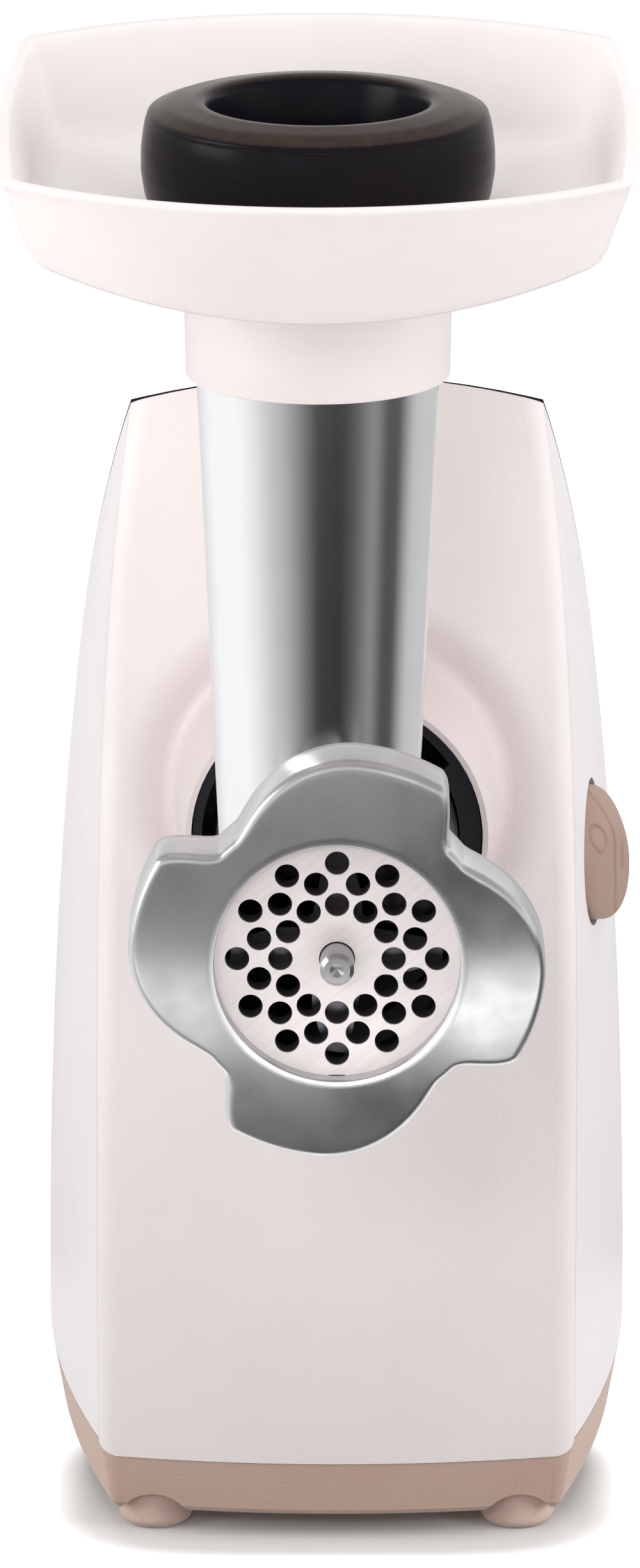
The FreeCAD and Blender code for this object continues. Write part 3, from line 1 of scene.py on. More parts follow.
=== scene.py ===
# %% [markdown]
# # An electric meat grinder with a number 5 head
#
# The construction model already holds every solid in its place: a tan base, a white bellied
# housing, a cast head with its ring and plate, a white tray and a black pusher. This lesson
# dresses it. Four solids with plain edges are remade as fine surfaces, everything gets a
# procedural finish, and a white studio is built round it.

# %% Load the construction model
import math

import bmesh
import bpy
import numpy as np
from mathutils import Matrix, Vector


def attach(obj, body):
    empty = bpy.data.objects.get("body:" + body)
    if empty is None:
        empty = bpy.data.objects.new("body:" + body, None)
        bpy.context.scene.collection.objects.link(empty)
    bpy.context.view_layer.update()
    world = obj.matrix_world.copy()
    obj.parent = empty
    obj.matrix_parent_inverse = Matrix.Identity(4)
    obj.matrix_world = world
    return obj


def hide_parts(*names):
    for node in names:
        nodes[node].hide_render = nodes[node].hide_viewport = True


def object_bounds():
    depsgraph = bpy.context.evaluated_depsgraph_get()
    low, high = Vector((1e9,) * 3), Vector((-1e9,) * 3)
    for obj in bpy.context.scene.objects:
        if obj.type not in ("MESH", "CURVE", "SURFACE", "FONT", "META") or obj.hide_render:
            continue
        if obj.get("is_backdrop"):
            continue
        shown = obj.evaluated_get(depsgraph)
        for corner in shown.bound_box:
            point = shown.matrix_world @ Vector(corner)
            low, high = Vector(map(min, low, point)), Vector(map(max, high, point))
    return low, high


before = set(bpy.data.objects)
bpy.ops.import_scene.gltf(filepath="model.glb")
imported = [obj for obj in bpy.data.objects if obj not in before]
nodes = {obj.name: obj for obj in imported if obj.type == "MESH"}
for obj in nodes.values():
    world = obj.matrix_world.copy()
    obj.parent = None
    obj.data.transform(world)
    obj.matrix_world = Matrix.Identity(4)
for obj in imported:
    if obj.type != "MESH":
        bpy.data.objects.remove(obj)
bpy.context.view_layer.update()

# %% [markdown]
# ## From a table of points to a piece
#
# A surface can be pictured as a net: its rows follow a profile and its columns go round. numpy
# works out all the knots at once, and Blender only has to be told which four knots make a face.
# Points that fall on each other, at a pole or where the net meets itself, are merged, and the
# normals are then turned outwards.

# %% The faces of a net
def net_faces(rows, cols):
    """Corner numbers of a net's quads; the last column is joined to the first."""
    row, col = np.meshgrid(np.arange(rows - 1), np.arange(cols), indexing="ij")
    beside = (col + 1) % cols
    corners = [row * cols + col, row * cols + beside, (row + 1) * cols + beside, (row + 1) * cols + col]
    return np.stack(corners, axis=-1).reshape(-1, 4)


print("quads in a net of 3 rows and 4 columns:", len(net_faces(3, 4)))


# %% A net becomes a piece
MM = 0.001
MERGE_GAP = 2e-6


def open_edges(mesh):
    """How many edges have only one face, counted from the faces' own edge lists."""
    used = np.empty(len(mesh.loops), dtype=np.int32)
    mesh.loops.foreach_get("edge_index", used)
    return int(np.sum(np.bincount(used, minlength=len(mesh.edges)) == 1))


def added(name, data):
    """A new object of the scene, at the origin."""
    made = bpy.data.objects.new(name, data)
    bpy.context.scene.collection.objects.link(made)
    return made


def piece_from_net(name, net, material, body, stands_for, crease=38):
    """One closed piece from a net of points in millimetres, smooth but for edges past the crease angle."""
    mesh = bpy.data.meshes.new(name)
    mesh.from_pydata((net.reshape(-1, 3) * MM).tolist(), [], net_faces(*net.shape[:2]).tolist())
    work = bmesh.new()
    work.from_mesh(mesh)
    bmesh.ops.remove_doubles(work, verts=work.verts, dist=MERGE_GAP)
    bmesh.ops.recalc_face_normals(work, faces=work.faces)
    work.to_mesh(mesh)
    work.free()
    mesh.shade_smooth()
    mesh.set_sharp_from_angle(angle=math.radians(crease))
    mesh.materials.append(material)
    piece = added(name, mesh)
    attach(piece, body)
    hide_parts(*stands_for)
    print(name, len(mesh.polygons), "faces, open edges:", open_edges(mesh))
    return piece


# %% [markdown]
# ## Effects that the finishes share
#
# No moulded or cast face has one even colour. Three effects come back in most finishes here: slow clouds
# with a fine grain, lines left by a tool, and dust lying on faces that look up, which on the black pusher is
# a painted warm sheen. Each is a node group, built once, so a finish only says how large and how strong.

# %% Helpers for node trees
def fed(tree, made, inputs):
    """Each named input of a node gets a link where its value is a socket, or else the plain value."""
    for key, value in dict(inputs).items():
        if isinstance(value, bpy.types.NodeSocket):
            tree.links.new(value, made.inputs[key])
        else:
            made.inputs[key].default_value = value
    return made


def node(tree, kind, inputs=(), **settings):
    """A node with its settings and what goes into its inputs."""
    made = tree.nodes.new("ShaderNode" + kind)
    for key, value in settings.items():
        setattr(made, key, value)
    return fed(tree, made, inputs)


def maths(tree, operation, *terms):
    """The result of one sum on sockets or numbers."""
    return node(tree, "Math", enumerate(terms), operation=operation).outputs["Value"]


def ranged(tree, value, first, last, start=0.0, stop=1.0, soft=False):
    """A value's run from first to last becomes start to stop, held at both ends, and eased if soft."""
    span = {"Value": value, "From Min": first, "From Max": last, "To Min": start, "To Max": stop}
    kind = "SMOOTHSTEP" if soft else "LINEAR"
    return node(tree, "MapRange", span, interpolation_type=kind).outputs["Result"]


def effect(name, inputs, outputs):
    """An empty node group with named value or vector sockets; gives the group and its two ends."""
    group = bpy.data.node_groups.new(name, "ShaderNodeTree")
    for label, kind, start in inputs:
        socket = group.interface.new_socket(label, in_out="INPUT", socket_type="NodeSocket" + kind)
        if start is not None:
            socket.default_value = start
    for label in outputs:
        group.interface.new_socket(label, in_out="OUTPUT", socket_type="NodeSocketFloat")
    return group, group.nodes.new("NodeGroupInput"), group.nodes.new("NodeGroupOutput")


# %% Clouds and grain
clouds, start, end = effect(
    "clouds_and_grain",
    [("Vector", "Vector", None), ("Cloud Scale", "Float", 25.0), ("Grain Scale", "Float", 1500.0)],
    ["Cloud", "Grain"],
)
for output, detail in (("Cloud", 3.0), ("Grain", 2.0)):
    pattern = {"Vector": start.outputs["Vector"], "Scale": start.outputs[output + " Scale"]}
    noise = node(clouds, "TexNoise", {**pattern, "Detail": detail, "Roughness": 0.55})
    fed(clouds, end, {output: ranged(clouds, noise.outputs["Fac"], 0.3, 0.7, soft=True)})
print(clouds.name, "nodes:", len(clouds.nodes))

# %% Lines left by a tool
lines, start, end = effect(
    "tool_lines",
    [("Vector", "Vector", None), ("Line Scale", "Float", 2500.0), ("Stretch", "Float", 0.02)],
    ["Lines", "Breaks"],
)
along = node(lines, "CombineXYZ", {"X": start.outputs["Stretch"], "Y": 1.0, "Z": 1.0})
both = {0: start.outputs["Vector"], 1: along.outputs["Vector"]}
drawn_out = node(lines, "VectorMath", both, operation="MULTIPLY")
for output, detail in (("Lines", 1.0), ("Breaks", 4.0)):
    pattern = {"Vector": drawn_out.outputs["Vector"], "Scale": start.outputs["Line Scale"]}
    noise = node(lines, "TexNoise", {**pattern, "Detail": detail, "Roughness": 0.6})
    fed(lines, end, {output: noise.outputs["Fac"]})
print(lines.name, "nodes:", len(lines.nodes))

# %% Dust on what looks up, which on the pusher is a painted warm sheen
LEVEL_FROM = 0.55
dust_and_sheen, start, end = effect("settled_dust_and_painted_sheen", [("Vector", "Vector", None), ("Amount", "Float", 0.1)], ["Dust And Sheen"])
facing = node(dust_and_sheen, "NewGeometry")
upward = node(dust_and_sheen, "SeparateXYZ", {"Vector": facing.outputs["Normal"]})
level = ranged(dust_and_sheen, upward.outputs["Z"], LEVEL_FROM, 1.0)
pattern = {"Vector": start.outputs["Vector"], "Scale": 260.0, "Detail": 5.0, "Roughness": 0.7}
patchy_noise = node(dust_and_sheen, "TexNoise", pattern)
patch = maths(dust_and_sheen, "MULTIPLY", level, patchy_noise.outputs["Fac"])
fed(dust_and_sheen, end, {"Dust And Sheen": maths(dust_and_sheen, "MULTIPLY", patch, start.outputs["Amount"])})
print(dust_and_sheen.name, "nodes:", len(dust_and_sheen.nodes))

# %% [markdown]
# ## Colours as they are seen
#
# Colours are read on a screen scale of 0 to 255, while a shader works with light. One small function turns
# the first into the second, so that every finish can be written as it looks.

# %% Screen colour to light
def seen(red, green, blue):
    """The screen curve undone: (c + 0.055) / 1.055 to the power 2.4, or c / 12.92 for the darkest."""
    c = np.array([red, green, blue]) / 255
    light = np.where(c <= 0.04045, c / 12.92, ((c + 0.055) / 1.055) ** 2.4)
    return (*light.tolist(), 1.0)


print("half grey on a screen is this share of light:", seen(128, 128, 128)[0])

# %% [markdown]
# ## Moulded plastics
#
# The housing, tray, base, knob and hub are injection mouldings. Up close such a face has the fine
# pebble of the spark-cut tool, faint clouds where the melt cooled, and a sheen that is a little
# uneven. An image of each could be wrapped round it, but a formula has no seams and no limit of
# sharpness. One function builds them all from a colour pair, a sheen and the size of the pebble.

# %% Parts of every finish
MICRON = 0.000001


def fresh(name):
    """A new material with its tree and its shader."""
    made = bpy.data.materials.new(name)
    made.use_nodes = True
    return made, made.node_tree, made.node_tree.nodes["Principled BSDF"]


def mapped(tree, turn=(0, 0, 0)):
    """Object coordinates, turned where a pattern has a direction of its own."""
    place = node(tree, "TexCoord")
    return node(tree, "Mapping", {"Vector": place.outputs["Object"], "Rotation": turn}).outputs["Vector"]


def mixed(tree, mask, first, second):
    """A colour between two, by a mask."""
    return node(tree, "Mix", {0: mask, 6: first, 7: second}, data_type="RGBA").outputs[2]


def bumped(tree, height, depth):
    """A height of so many microns, as the small slopes that a shader feels."""
    slopes = {"Height": height, "Strength": 1.0, "Distance": depth * MICRON}
    return node(tree, "Bump", slopes).outputs["Normal"]


# %% A moulded finish
PLASTIC_CLOUDS, PLASTIC_IOR = 22.0, 1.5
POWDER = (205, 198, 190)


def moulded(name, colour, cloudy, sheen, pebble, depth, dust_and_sheen_amount=0.08, gloss=0.5, dust_and_sheen_tint=POWDER):
    """Plastic: two close colours in clouds, a sheen range, a pebble so many microns deep, settled powder;
    the pusher's brown powder is a painted warm sheen.
    """
    made, tree, shader = fresh(name)
    vector = mapped(tree)
    sizes = {"Vector": vector, "Cloud Scale": PLASTIC_CLOUDS, "Grain Scale": pebble}
    skin = node(tree, "Group", sizes, node_tree=clouds).outputs
    dust_and_sheen_out = node(tree, "Group", {"Vector": vector, "Amount": dust_and_sheen_amount}, node_tree=dust_and_sheen).outputs
    body = mixed(tree, skin["Cloud"], colour, cloudy)
    fed(tree, shader, {
        "Base Color": mixed(tree, dust_and_sheen_out["Dust And Sheen"], body, seen(*dust_and_sheen_tint)),
        "Roughness": ranged(tree, skin["Grain"], 0.0, 1.0, *sheen),
        "Normal": bumped(tree, skin["Grain"], depth),
        "IOR": PLASTIC_IOR,
        "Specular IOR Level": gloss,
    })
    return made


# %% The white and tan plastics
white_housing = moulded("white_housing", seen(241, 233, 231), seen(238, 229, 227), (0.34, 0.46), 1500.0, 30)
white_side = moulded("white_side", seen(240, 234, 236), seen(236, 229, 232), (0.34, 0.46), 1500.0, 30)
white_tray = moulded("white_tray", seen(232, 223, 221), seen(228, 218, 216), (0.36, 0.44), 900.0, 1)
tan_base = moulded(
    "tan_base", seen(206, 177, 161), seen(201, 171, 155), (0.42, 0.56), 1300.0, 50, gloss=0.3
)
tan_switch = moulded("tan_switch", seen(165, 138, 124), seen(160, 132, 118), (0.4, 0.5), 1600.0, 30)
tan_foot = moulded("tan_foot", seen(228, 200, 187), seen(220, 191, 178), (0.55, 0.7), 900.0, 60)
pale = (white_housing, white_side, white_tray, tan_base, tan_switch, tan_foot)
print("white and tan:", [finish.name for finish in pale])

# %% The dark plastics, and those inside
dark_cover = moulded(
    "dark_cover", seen(30, 28, 31), seen(25, 23, 26), (0.4, 0.55), 1200.0, 60, dust_and_sheen_amount=0.02, gloss=0.2
)
black_hub = moulded(
    "black_hub", seen(31, 29, 35), seen(27, 25, 31), (0.38, 0.5), 1400.0, 40, dust_and_sheen_amount=0.01, gloss=0.25
)
# the pusher's brown powder, lying on its top and shoulder, is a painted warm sheen
black_knob = moulded(
    "black_knob", seen(19, 17, 23), seen(23, 20, 24), (0.25, 0.28), 160.0, 0.5,
    dust_and_sheen_amount=0.2, gloss=0.08, dust_and_sheen_tint=(150, 122, 98),
)
gear_nylon = moulded(
    "gear_nylon", seen(226, 219, 200), seen(216, 207, 186), (0.36, 0.5), 800.0, 30, dust_and_sheen_amount=0.0
)
seal_rubber = moulded(
    "seal_rubber", seen(38, 37, 38), seen(30, 29, 31), (0.6, 0.75), 1000.0, 60, dust_and_sheen_amount=0.0
)
inside_or_dark = (dark_cover, black_hub, black_knob, gear_nylon, seal_rubber)
print("dark, or inside:", [finish.name for finish in inside_or_dark])

# %% [markdown]
# ## Metals
#
# The head is cast light metal, tumbled to a satin on the ring and polished on the tube; the plate
# is ground steel with fine slanting lines. A metal is mostly its reflections, so its colour is
# kept even and the clouds and tool lines work on the roughness and the slopes.

# %% A metal finish
def metal(name, colour, shade, rough, cloud, grain, depth, cut=None, pure=1.0):
    """Metal: two close colours, a roughness range, clouds, a grain so many microns deep, how metallic it is.

    A cut gives the tool lines: scale, stretch, turn, and their share in the mask.
    """
    made, tree, shader = fresh(name)
    sizes = {"Vector": mapped(tree), "Cloud Scale": cloud, "Grain Scale": grain}
    skin = node(tree, "Group", sizes, node_tree=clouds).outputs
    mask, height = skin["Cloud"], skin["Grain"]
    if cut:
        scale, stretch, turn, share = cut
        sizes = {"Vector": mapped(tree, turn), "Line Scale": scale, "Stretch": stretch}
        tool = node(tree, "Group", sizes, node_tree=lines).outputs
        mask = node(tree, "Mix", {0: share, 2: mask, 3: tool["Breaks"]}).outputs[0]
        height = tool["Lines"]
    fed(tree, shader, {
        "Base Color": mixed(tree, mask, colour, shade),
        "Roughness": ranged(tree, mask, 0.0, 1.0, *rough),
        "Normal": bumped(tree, height, depth),
        "Metallic": pure,
    })
    return made


# %% The metals of the head
SLANT = (0, math.radians(38), 0)
cast_satin = metal("cast_satin", seen(218, 217, 218), seen(202, 201, 203), (0.25, 0.33), 60.0, 900.0, 1.5)
cast_polished = metal(
    "cast_polished", seen(247, 247, 249), seen(243, 243, 246), (0.14, 0.17), 30.0, 700.0, 0.3
)
ground_steel = metal(
    "ground_steel", seen(254, 246, 245), seen(226, 217, 216), (0.36, 0.5), 30.0, 900.0, 12,
    cut=(1100.0, 0.02, SLANT, 0.8), pure=0.3,
)
# the knife's steel is painted dark, as shade for the holes of the plate in front of it
knife_steel_painted_dark = metal("knife_steel_painted_dark", seen(100, 98, 102), seen(72, 70, 74), (0.3, 0.42), 90.0, 900.0, 10)
auger_cast = metal("auger_cast", seen(178, 177, 178), seen(164, 163, 165), (0.24, 0.32), 90.0, 900.0, 1)
head_metals = (cast_satin, cast_polished, ground_steel, knife_steel_painted_dark, auger_cast)
print("metals of the head:", [finish.name for finish in head_metals])

# %% The metals inside the housing
ALONG, UPRIGHT = (0, 0, 0), (0, math.radians(90), 0)
turned_steel = metal(
    "turned_steel", seen(205, 204, 203), seen(190, 189, 188), (0.22, 0.34), 60.0, 1500.0, 10
)
zinc_sheet = metal("zinc_sheet", seen(190, 192, 190), seen(170, 173, 172), (0.3, 0.48), 120.0, 1500.0, 20)
core_sheets = metal(
    "core_sheets", seen(128, 128, 132), seen(104, 104, 110), (0.4, 0.55), 60.0, 900.0, 60,
    cut=(900.0, 0.02, ALONG, 0.7),
)
wound_copper = metal(
    "wound_copper", seen(200, 118, 74), seen(170, 92, 54), (0.24, 0.38), 80.0, 900.0, 100,
    cut=(900.0, 0.03, UPRIGHT, 0.6),
)
oiled_bronze = metal("oiled_bronze", seen(186, 142, 84), seen(160, 116, 64), (0.32, 0.46), 90.0, 900.0, 30)
inner_metals = (turned_steel, zinc_sheet, core_sheets, wound_copper, oiled_bronze)
print("metals inside:", [finish.name for finish in inner_metals])

# %% [markdown]
# ## Painted shade within one piece
#
# Some shade is painted into the colour of a piece. A painted shadow line runs where the panel meets the
# shells, and the neck is painted a tone deeper, as shade from the head. The thread under the ring, what lies
# behind the plate's holes and the walls of those holes are painted darker, as little light reaches them. The
# tray's pan is thin enough to let light through, while its collar has the metal tube behind it. Each face
# could have a material of its own, but the meshes of the solids stay as they are, so a mask on Object
# coordinates fades one shade into another.

# %% Masks from a place on the piece
def place_along(tree, axis):
    """One of the Object coordinates, in metres."""
    place = node(tree, "TexCoord")
    return node(tree, "SeparateXYZ", {"Vector": place.outputs["Object"]}).outputs[axis]


def mix_in_painted_shade(finish, mask, shade):
    """The finish's colour gives way to a painted shade where the mask is 1."""
    tree = finish.node_tree
    colour_in = tree.nodes["Principled BSDF"].inputs["Base Color"]
    tree.links.new(mixed(tree, mask, colour_in.links[0].from_socket, shade), colour_in)


def painted_shade_along(finish, first, last, shade):
    """A painted shade takes over from the first to the last place along the auger's axis."""
    tree = finish.node_tree
    mix_in_painted_shade(finish, ranged(tree, place_along(tree, "Y"), first, last), shade)


def painted_shade_round(finish, height, inner, outer, shade):
    """A painted shade takes over from an outer to an inner radius about the auger's axis, at its height."""
    tree = finish.node_tree
    place = node(tree, "TexCoord").outputs["Object"]
    centred = {"Vector": place, "Location": (0, 0, -height), "Scale": (1, 0, 1)}
    spoke = node(tree, "Mapping", centred).outputs["Vector"]
    away = node(tree, "VectorMath", {0: spoke}, operation="LENGTH").outputs["Value"]
    mix_in_painted_shade(finish, ranged(tree, away, outer, inner, soft=True), shade)


def thin_above(finish, first, last, share):
    """Light goes through the plastic above a height: its share rises from none to the given one."""
    tree = finish.node_tree
    fed(tree, tree.nodes["Principled BSDF"], {
        "Subsurface Weight": ranged(tree, place_along(tree, "Z"), first, last, 0.0, share),
        "Subsurface Radius": (1.0, 0.86, 0.82),
        "Subsurface Scale": 0.012,
    })


# %% Painted shade on the seams, the neck, the thread and behind the plate, and light through the pan
AXIS_Z = 175.0
NECK_IN, NECK_OUT = 0.04, 0.049
PAN_FROM, PAN_FULL, LET_THROUGH = 0.314, 0.318, 0.6
PAINTED_SEAM_SHADOW = seen(196, 187, 186)
# painted shade on the neck, where the head shades the housing
painted_shade_round(white_housing, AXIS_Z * MM, NECK_IN, NECK_OUT, seen(221, 209, 208))
for finish, first, last, shade in (
    # painted shadow lines where the panel and the shells meet
    (white_housing, 0.0107, 0.01085, PAINTED_SEAM_SHADOW),
    (white_side, 0.0114, 0.0113, PAINTED_SEAM_SHADOW),
    # painted shade on the thread, under the ring
    (cast_polished, -0.1016, -0.1024, seen(70, 68, 72)),
    # painted shade on the auger behind the plate
    (auger_cast, -0.1125, -0.1095, seen(48, 47, 50)),
    # painted shade on the walls of the plate's holes
    (ground_steel, -0.11335, -0.11265, seen(84, 80, 84)),
):
    painted_shade_along(finish, first, last, shade)
    print(finish.name, "changes shade from", first, "to", last, "m")
thin_above(white_tray, PAN_FROM, PAN_FULL, LET_THROUGH)

# %% [markdown]
# ## Finishes on the solids that stay
#
# A solid whose shape is right keeps its mesh and only gets a finish in its material slots. The table goes by
# the real material of each piece, except that the knife's steel is painted dark as shade behind the plate.
# The four solids that are remade below get theirs as well, so that none is left bare.

# %% Hand out the finishes
finish_of = {
    white_housing: ["front_panel"],
    white_side: ["left_shell", "right_shell"],
    white_tray: ["tray"],
    tan_base: ["base"],
    tan_switch: ["switch_rocker"],
    tan_foot: ["feet"],
    dark_cover: ["back_cover", "release_button"],
    black_hub: [
        "hub_socket", "cord_gland", "switch_housing", "brush_holders", "capacitor", "cooling_fan",
        "motor_cradle",
    ],
    black_knob: ["pusher"],
    cast_satin: ["fixing_ring"],
    auger_cast: ["auger"],
    cast_polished: ["head_casting"],
    ground_steel: ["plate"],
    knife_steel_painted_dark: ["knife"],
    turned_steel: [
        "drive_spindle", "frame_screws", "gear_axles", "motor_bearings", "motor_spacers", "motor_bolts",
        "cradle_screws", "rotor_shaft", "motor_pinion", "switch_pin",
    ],
    zinc_sheet: ["gear_plate_front", "gear_plate_rear", "frame_pillars", "end_bracket"],
    core_sheets: ["stator_core", "rotor_core"],
    wound_copper: ["field_coils", "rotor_windings", "commutator"],
    oiled_bronze: ["spindle_bushes", "head_bush"],
    gear_nylon: ["output_gear", "middle_gear", "first_gear"],
    seal_rubber: ["shaft_seal", "carbon_brushes"],
}
for finish, names in finish_of.items():
    for name in names:
        for slot in nodes[name].material_slots:
            slot.material = finish
bare = set(nodes) - {name for names in finish_of.values() for name in names}
print("solids with a finish:", len(nodes) - len(bare), "without:", sorted(bare))

# %% [markdown]
# ## The fixing ring
#
# The ring is a casting that is screwed over the barrel by four thumb lobes, each rising slowly on
# one side and falling quickly on the other. The edge is a rounded bead, and the face slopes forward
# to the mouth. It could be cut from a block with bevels, but the lobes' offset edge is easier as a
# formula: the outline, moved inwards along its own normal. The tube above it is polished for show and
# is meant to mirror only the room, so the ring is kept out of reflections.

# %% The ring's outline
VALLEY_R, LOBE_RISE, LOBE_START = 33.5, 9.6, 39.5
RISE_WIDE, RISE_SOFT, FALL_START, FALL_WIDE = 43, 3, 69, 15
RING_POINTS = 900


def eased(x):
    """A step from 0 to 1 with flat ends: 3x² - 2x³."""
    x = np.clip(x, 0, 1)
    return x * x * (3 - 2 * x)


def lobe_radius(angle):
    """Valley radius plus four lobes: up over 46 degrees as a sine, down over 15 as an eased step."""
    turn = (LOBE_START - angle) % 90
    rise = np.minimum((np.hypot(turn, RISE_SOFT) - RISE_SOFT) / RISE_WIDE, 1)
    return VALLEY_R + LOBE_RISE * (np.sin(np.pi / 2 * rise) - eased((turn - FALL_START) / FALL_WIDE))


angle = np.linspace(0, 360, RING_POINTS, endpoint=False)
spoke = np.stack([np.cos(np.radians(angle)), np.sin(np.radians(angle))], axis=-1)
outline = lobe_radius(angle)[:, None] * spoke
run = np.roll(outline, -1, axis=0) - np.roll(outline, 1, axis=0)
outward = np.stack([run[:, 1], -run[:, 0]], axis=-1)
outward /= np.linalg.norm(outward, axis=1, keepdims=True)
print("ring across the lobes, mm:", 2 * lobe_radius(angle).max())

# %% The ring's edge
RING_FRONT, RING_BACK = -117.2, -101.4
MOUTH_R, LIP_R = 25.3, 27.2
FACE_START, FACE_SLOPE = MOUTH_R + 0.4, 0.103
LIP_GAP, BEAD_ROOM = 0.6, 7.2
narrow = np.minimum(1, (lobe_radius(angle) - LIP_R - LIP_GAP) / BEAD_ROOM)


def moved_in(inset):
    """The outline moved inwards along its normal, by less where a valley comes near the mouth."""
    return outline - inset[:, None, None] * narrow[:, None] * outward


def face_depth(flat):
    """The sloping face: foremost at the mouth, then back by 0.103 of the way outwards."""
    return RING_FRONT + FACE_SLOPE * np.maximum(np.linalg.norm(flat, axis=-1) - FACE_START, 0)


# in both tables, how far inside the outline, and how far behind the back or behind the face
back_edge = np.array([(0.5, 0.0), (0.15, -0.12), (0.0, -0.5), (0.0, -4.0)])
bead = np.array([
    (0.03, 2.1), (0.1, 1.5), (0.22, 1.05), (0.45, 0.62), (0.75, 0.3), (1.1, 0.1), (1.5, 0.02), (1.9, 0.0),
])
back_flat = moved_in(back_edge[:, 0])
back_deep = RING_BACK + np.repeat(back_edge[:, 1:], RING_POINTS, axis=1)
bead_flat = moved_in(bead[:, 0])
bead_deep = face_depth(bead_flat) + bead[:, 1:]
print("ring from", RING_FRONT, "to", RING_BACK, "mm, bead rows:", len(bead))

# %% The ring's face and mouth
THREAD_R, PLATE_LEDGE = 30.15, 3.78
across = np.linspace(0, 1, 13)[1:, None, None]
face_flat = (1 - across) * bead_flat[-1] + across * LIP_R * spoke
mouth = np.array([
    (25.6, 0.0), (25.42, 0.05), (25.33, 0.16), (MOUTH_R, 0.3), (MOUTH_R, PLATE_LEDGE),
    (THREAD_R, PLATE_LEDGE), (THREAD_R, RING_BACK - RING_FRONT),
])
mouth_flat = mouth[:, 0, None, None] * spoke
mouth_deep = RING_FRONT + np.repeat(mouth[:, 1:], RING_POINTS, axis=1)
ring_flat = np.concatenate([back_flat, bead_flat, face_flat, mouth_flat, back_flat[:1]])
ring_deep = np.concatenate([back_deep, bead_deep, face_depth(face_flat), mouth_deep, back_deep[:1]])
ring_net = np.stack([ring_flat[..., 0], ring_deep, AXIS_Z + ring_flat[..., 1]], axis=-1)
lobed_ring = piece_from_net("lobed_ring", ring_net, cast_satin, "ring", ["fixing_ring"])
lobed_ring.visible_glossy = False

# %% [markdown]
# ## The tray
#
# The tray is one thin white moulding: a shallow pan with bowed ends and tight corners, walls that
# lean out, a trough-shaped floor, and a collar that slips over the feed tube. A shell could be
# thickened with Solidify, but then the collar and the seat would need their own pieces. Here the net
# goes once round the whole section: under the pan, up the wall, over the rim, down inside, through
# the throat and back up the collar.

# %% The tray's plan
HALF_WIDE, HALF_LONG, RIM_H = 62.8, 67.8, 168.0
SIDE_BOW, END_BOW = 2.6, 25.3
SIDE_LEAN, END_LEAN = 0.3, 0.5
SIDE_POINTS = 64
share = np.tile(np.linspace(-1, 1, SIDE_POINTS, endpoint=False), 4)
side = np.repeat(np.arange(4), SIDE_POINTS)
sides = [side == 0, side == 1, side == 2, side == 3]


def arc_over(half, bow):
    """Height of a circle's arc over its chord, at a share of the half chord: root(R² - x²) - (R - bow)."""
    radius = (half * half + bow * bow) / (2 * bow)
    return np.sqrt(radius * radius - (share * half) ** 2) - (radius - bow)


def tray_plan(height, inset):
    """Right side, rear, left side and front at a height, bowed over their chords; corners averaged once."""
    drop = RIM_H - height
    half = HALF_WIDE - SIDE_LEAN * drop - inset
    long = HALF_LONG - END_LEAN * drop - inset
    flank = half + arc_over(long, SIDE_BOW)
    end = long + arc_over(half, END_BOW * half / HALF_WIDE)
    x = np.select(sides, [flank, -share * half, -flank, share * half])
    y = np.select(sides, [share * long, end, -share * long, -end])
    plan = np.stack([x, y], axis=-1)
    return (np.roll(plan, 1, axis=0) + 2 * plan + np.roll(plan, -1, axis=0)) / 4


rim_plan = tray_plan(RIM_H, 0.0)
ray = rim_plan / np.linalg.norm(rim_plan, axis=1, keepdims=True)
print("rim across and along, mm:", np.ptp(rim_plan, axis=0))

# %% The trough, where it meets the walls
PAN_R, PAN_LOW, TRAY_WALL = 205.0, 140.3, 2.2
FOOT_BEND, COVE = 1.1, 4.5
# heights close to where the walls meet the trough, outside and inside
FOOT_NEAR, INNER_NEAR = PAN_LOW + 9.0, PAN_LOW + 6.0


def trough(x, lift):
    """Height at x: a circle of the pan's radius, less the lift, whose lowest point is raised by it."""
    radius = PAN_R - lift
    return PAN_LOW + lift + radius - np.sqrt(radius * radius - x * x)


foot_h = trough(tray_plan(FOOT_NEAR, 0.0)[:, 0], 0.0)
floor_h = trough(tray_plan(INNER_NEAR, TRAY_WALL + COVE)[:, 0], TRAY_WALL)
print("pan's lower edge, mm above the axis:", foot_h.min(), "to", foot_h.max())

# %% Under the pan and up the wall
COLLAR_TOP, COLLAR_BEND, OUTER_TOP = 28.0, 1.2, RIM_H - 1.6


def raised(plan, height):
    """Plan points with their heights."""
    return np.concatenate([plan, np.broadcast_to(height, plan.shape[:-1])[..., None]], axis=-1)


outside = []
foot_edge = tray_plan(foot_h, FOOT_BEND)
for step in np.linspace(0, 1, 14):
    flat = (1 - step) * (COLLAR_TOP + COLLAR_BEND) * ray + step * foot_edge
    outside.append(raised(flat, trough(flat[:, 0], 0.0)))
for bend in np.radians([75, 60, 45, 30, 15, 0]):
    plan = tray_plan(foot_h, FOOT_BEND * (1 - np.cos(bend)))
    outside.append(raised(plan, foot_h + FOOT_BEND * (1 - np.sin(bend))))
for step in np.linspace(0, 1, 9)[1:]:
    height = (1 - step) * (foot_h + FOOT_BEND) + step * OUTER_TOP
    outside.append(raised(tray_plan(height, 0.0), height))
print("rows under the pan and up the wall:", len(outside))

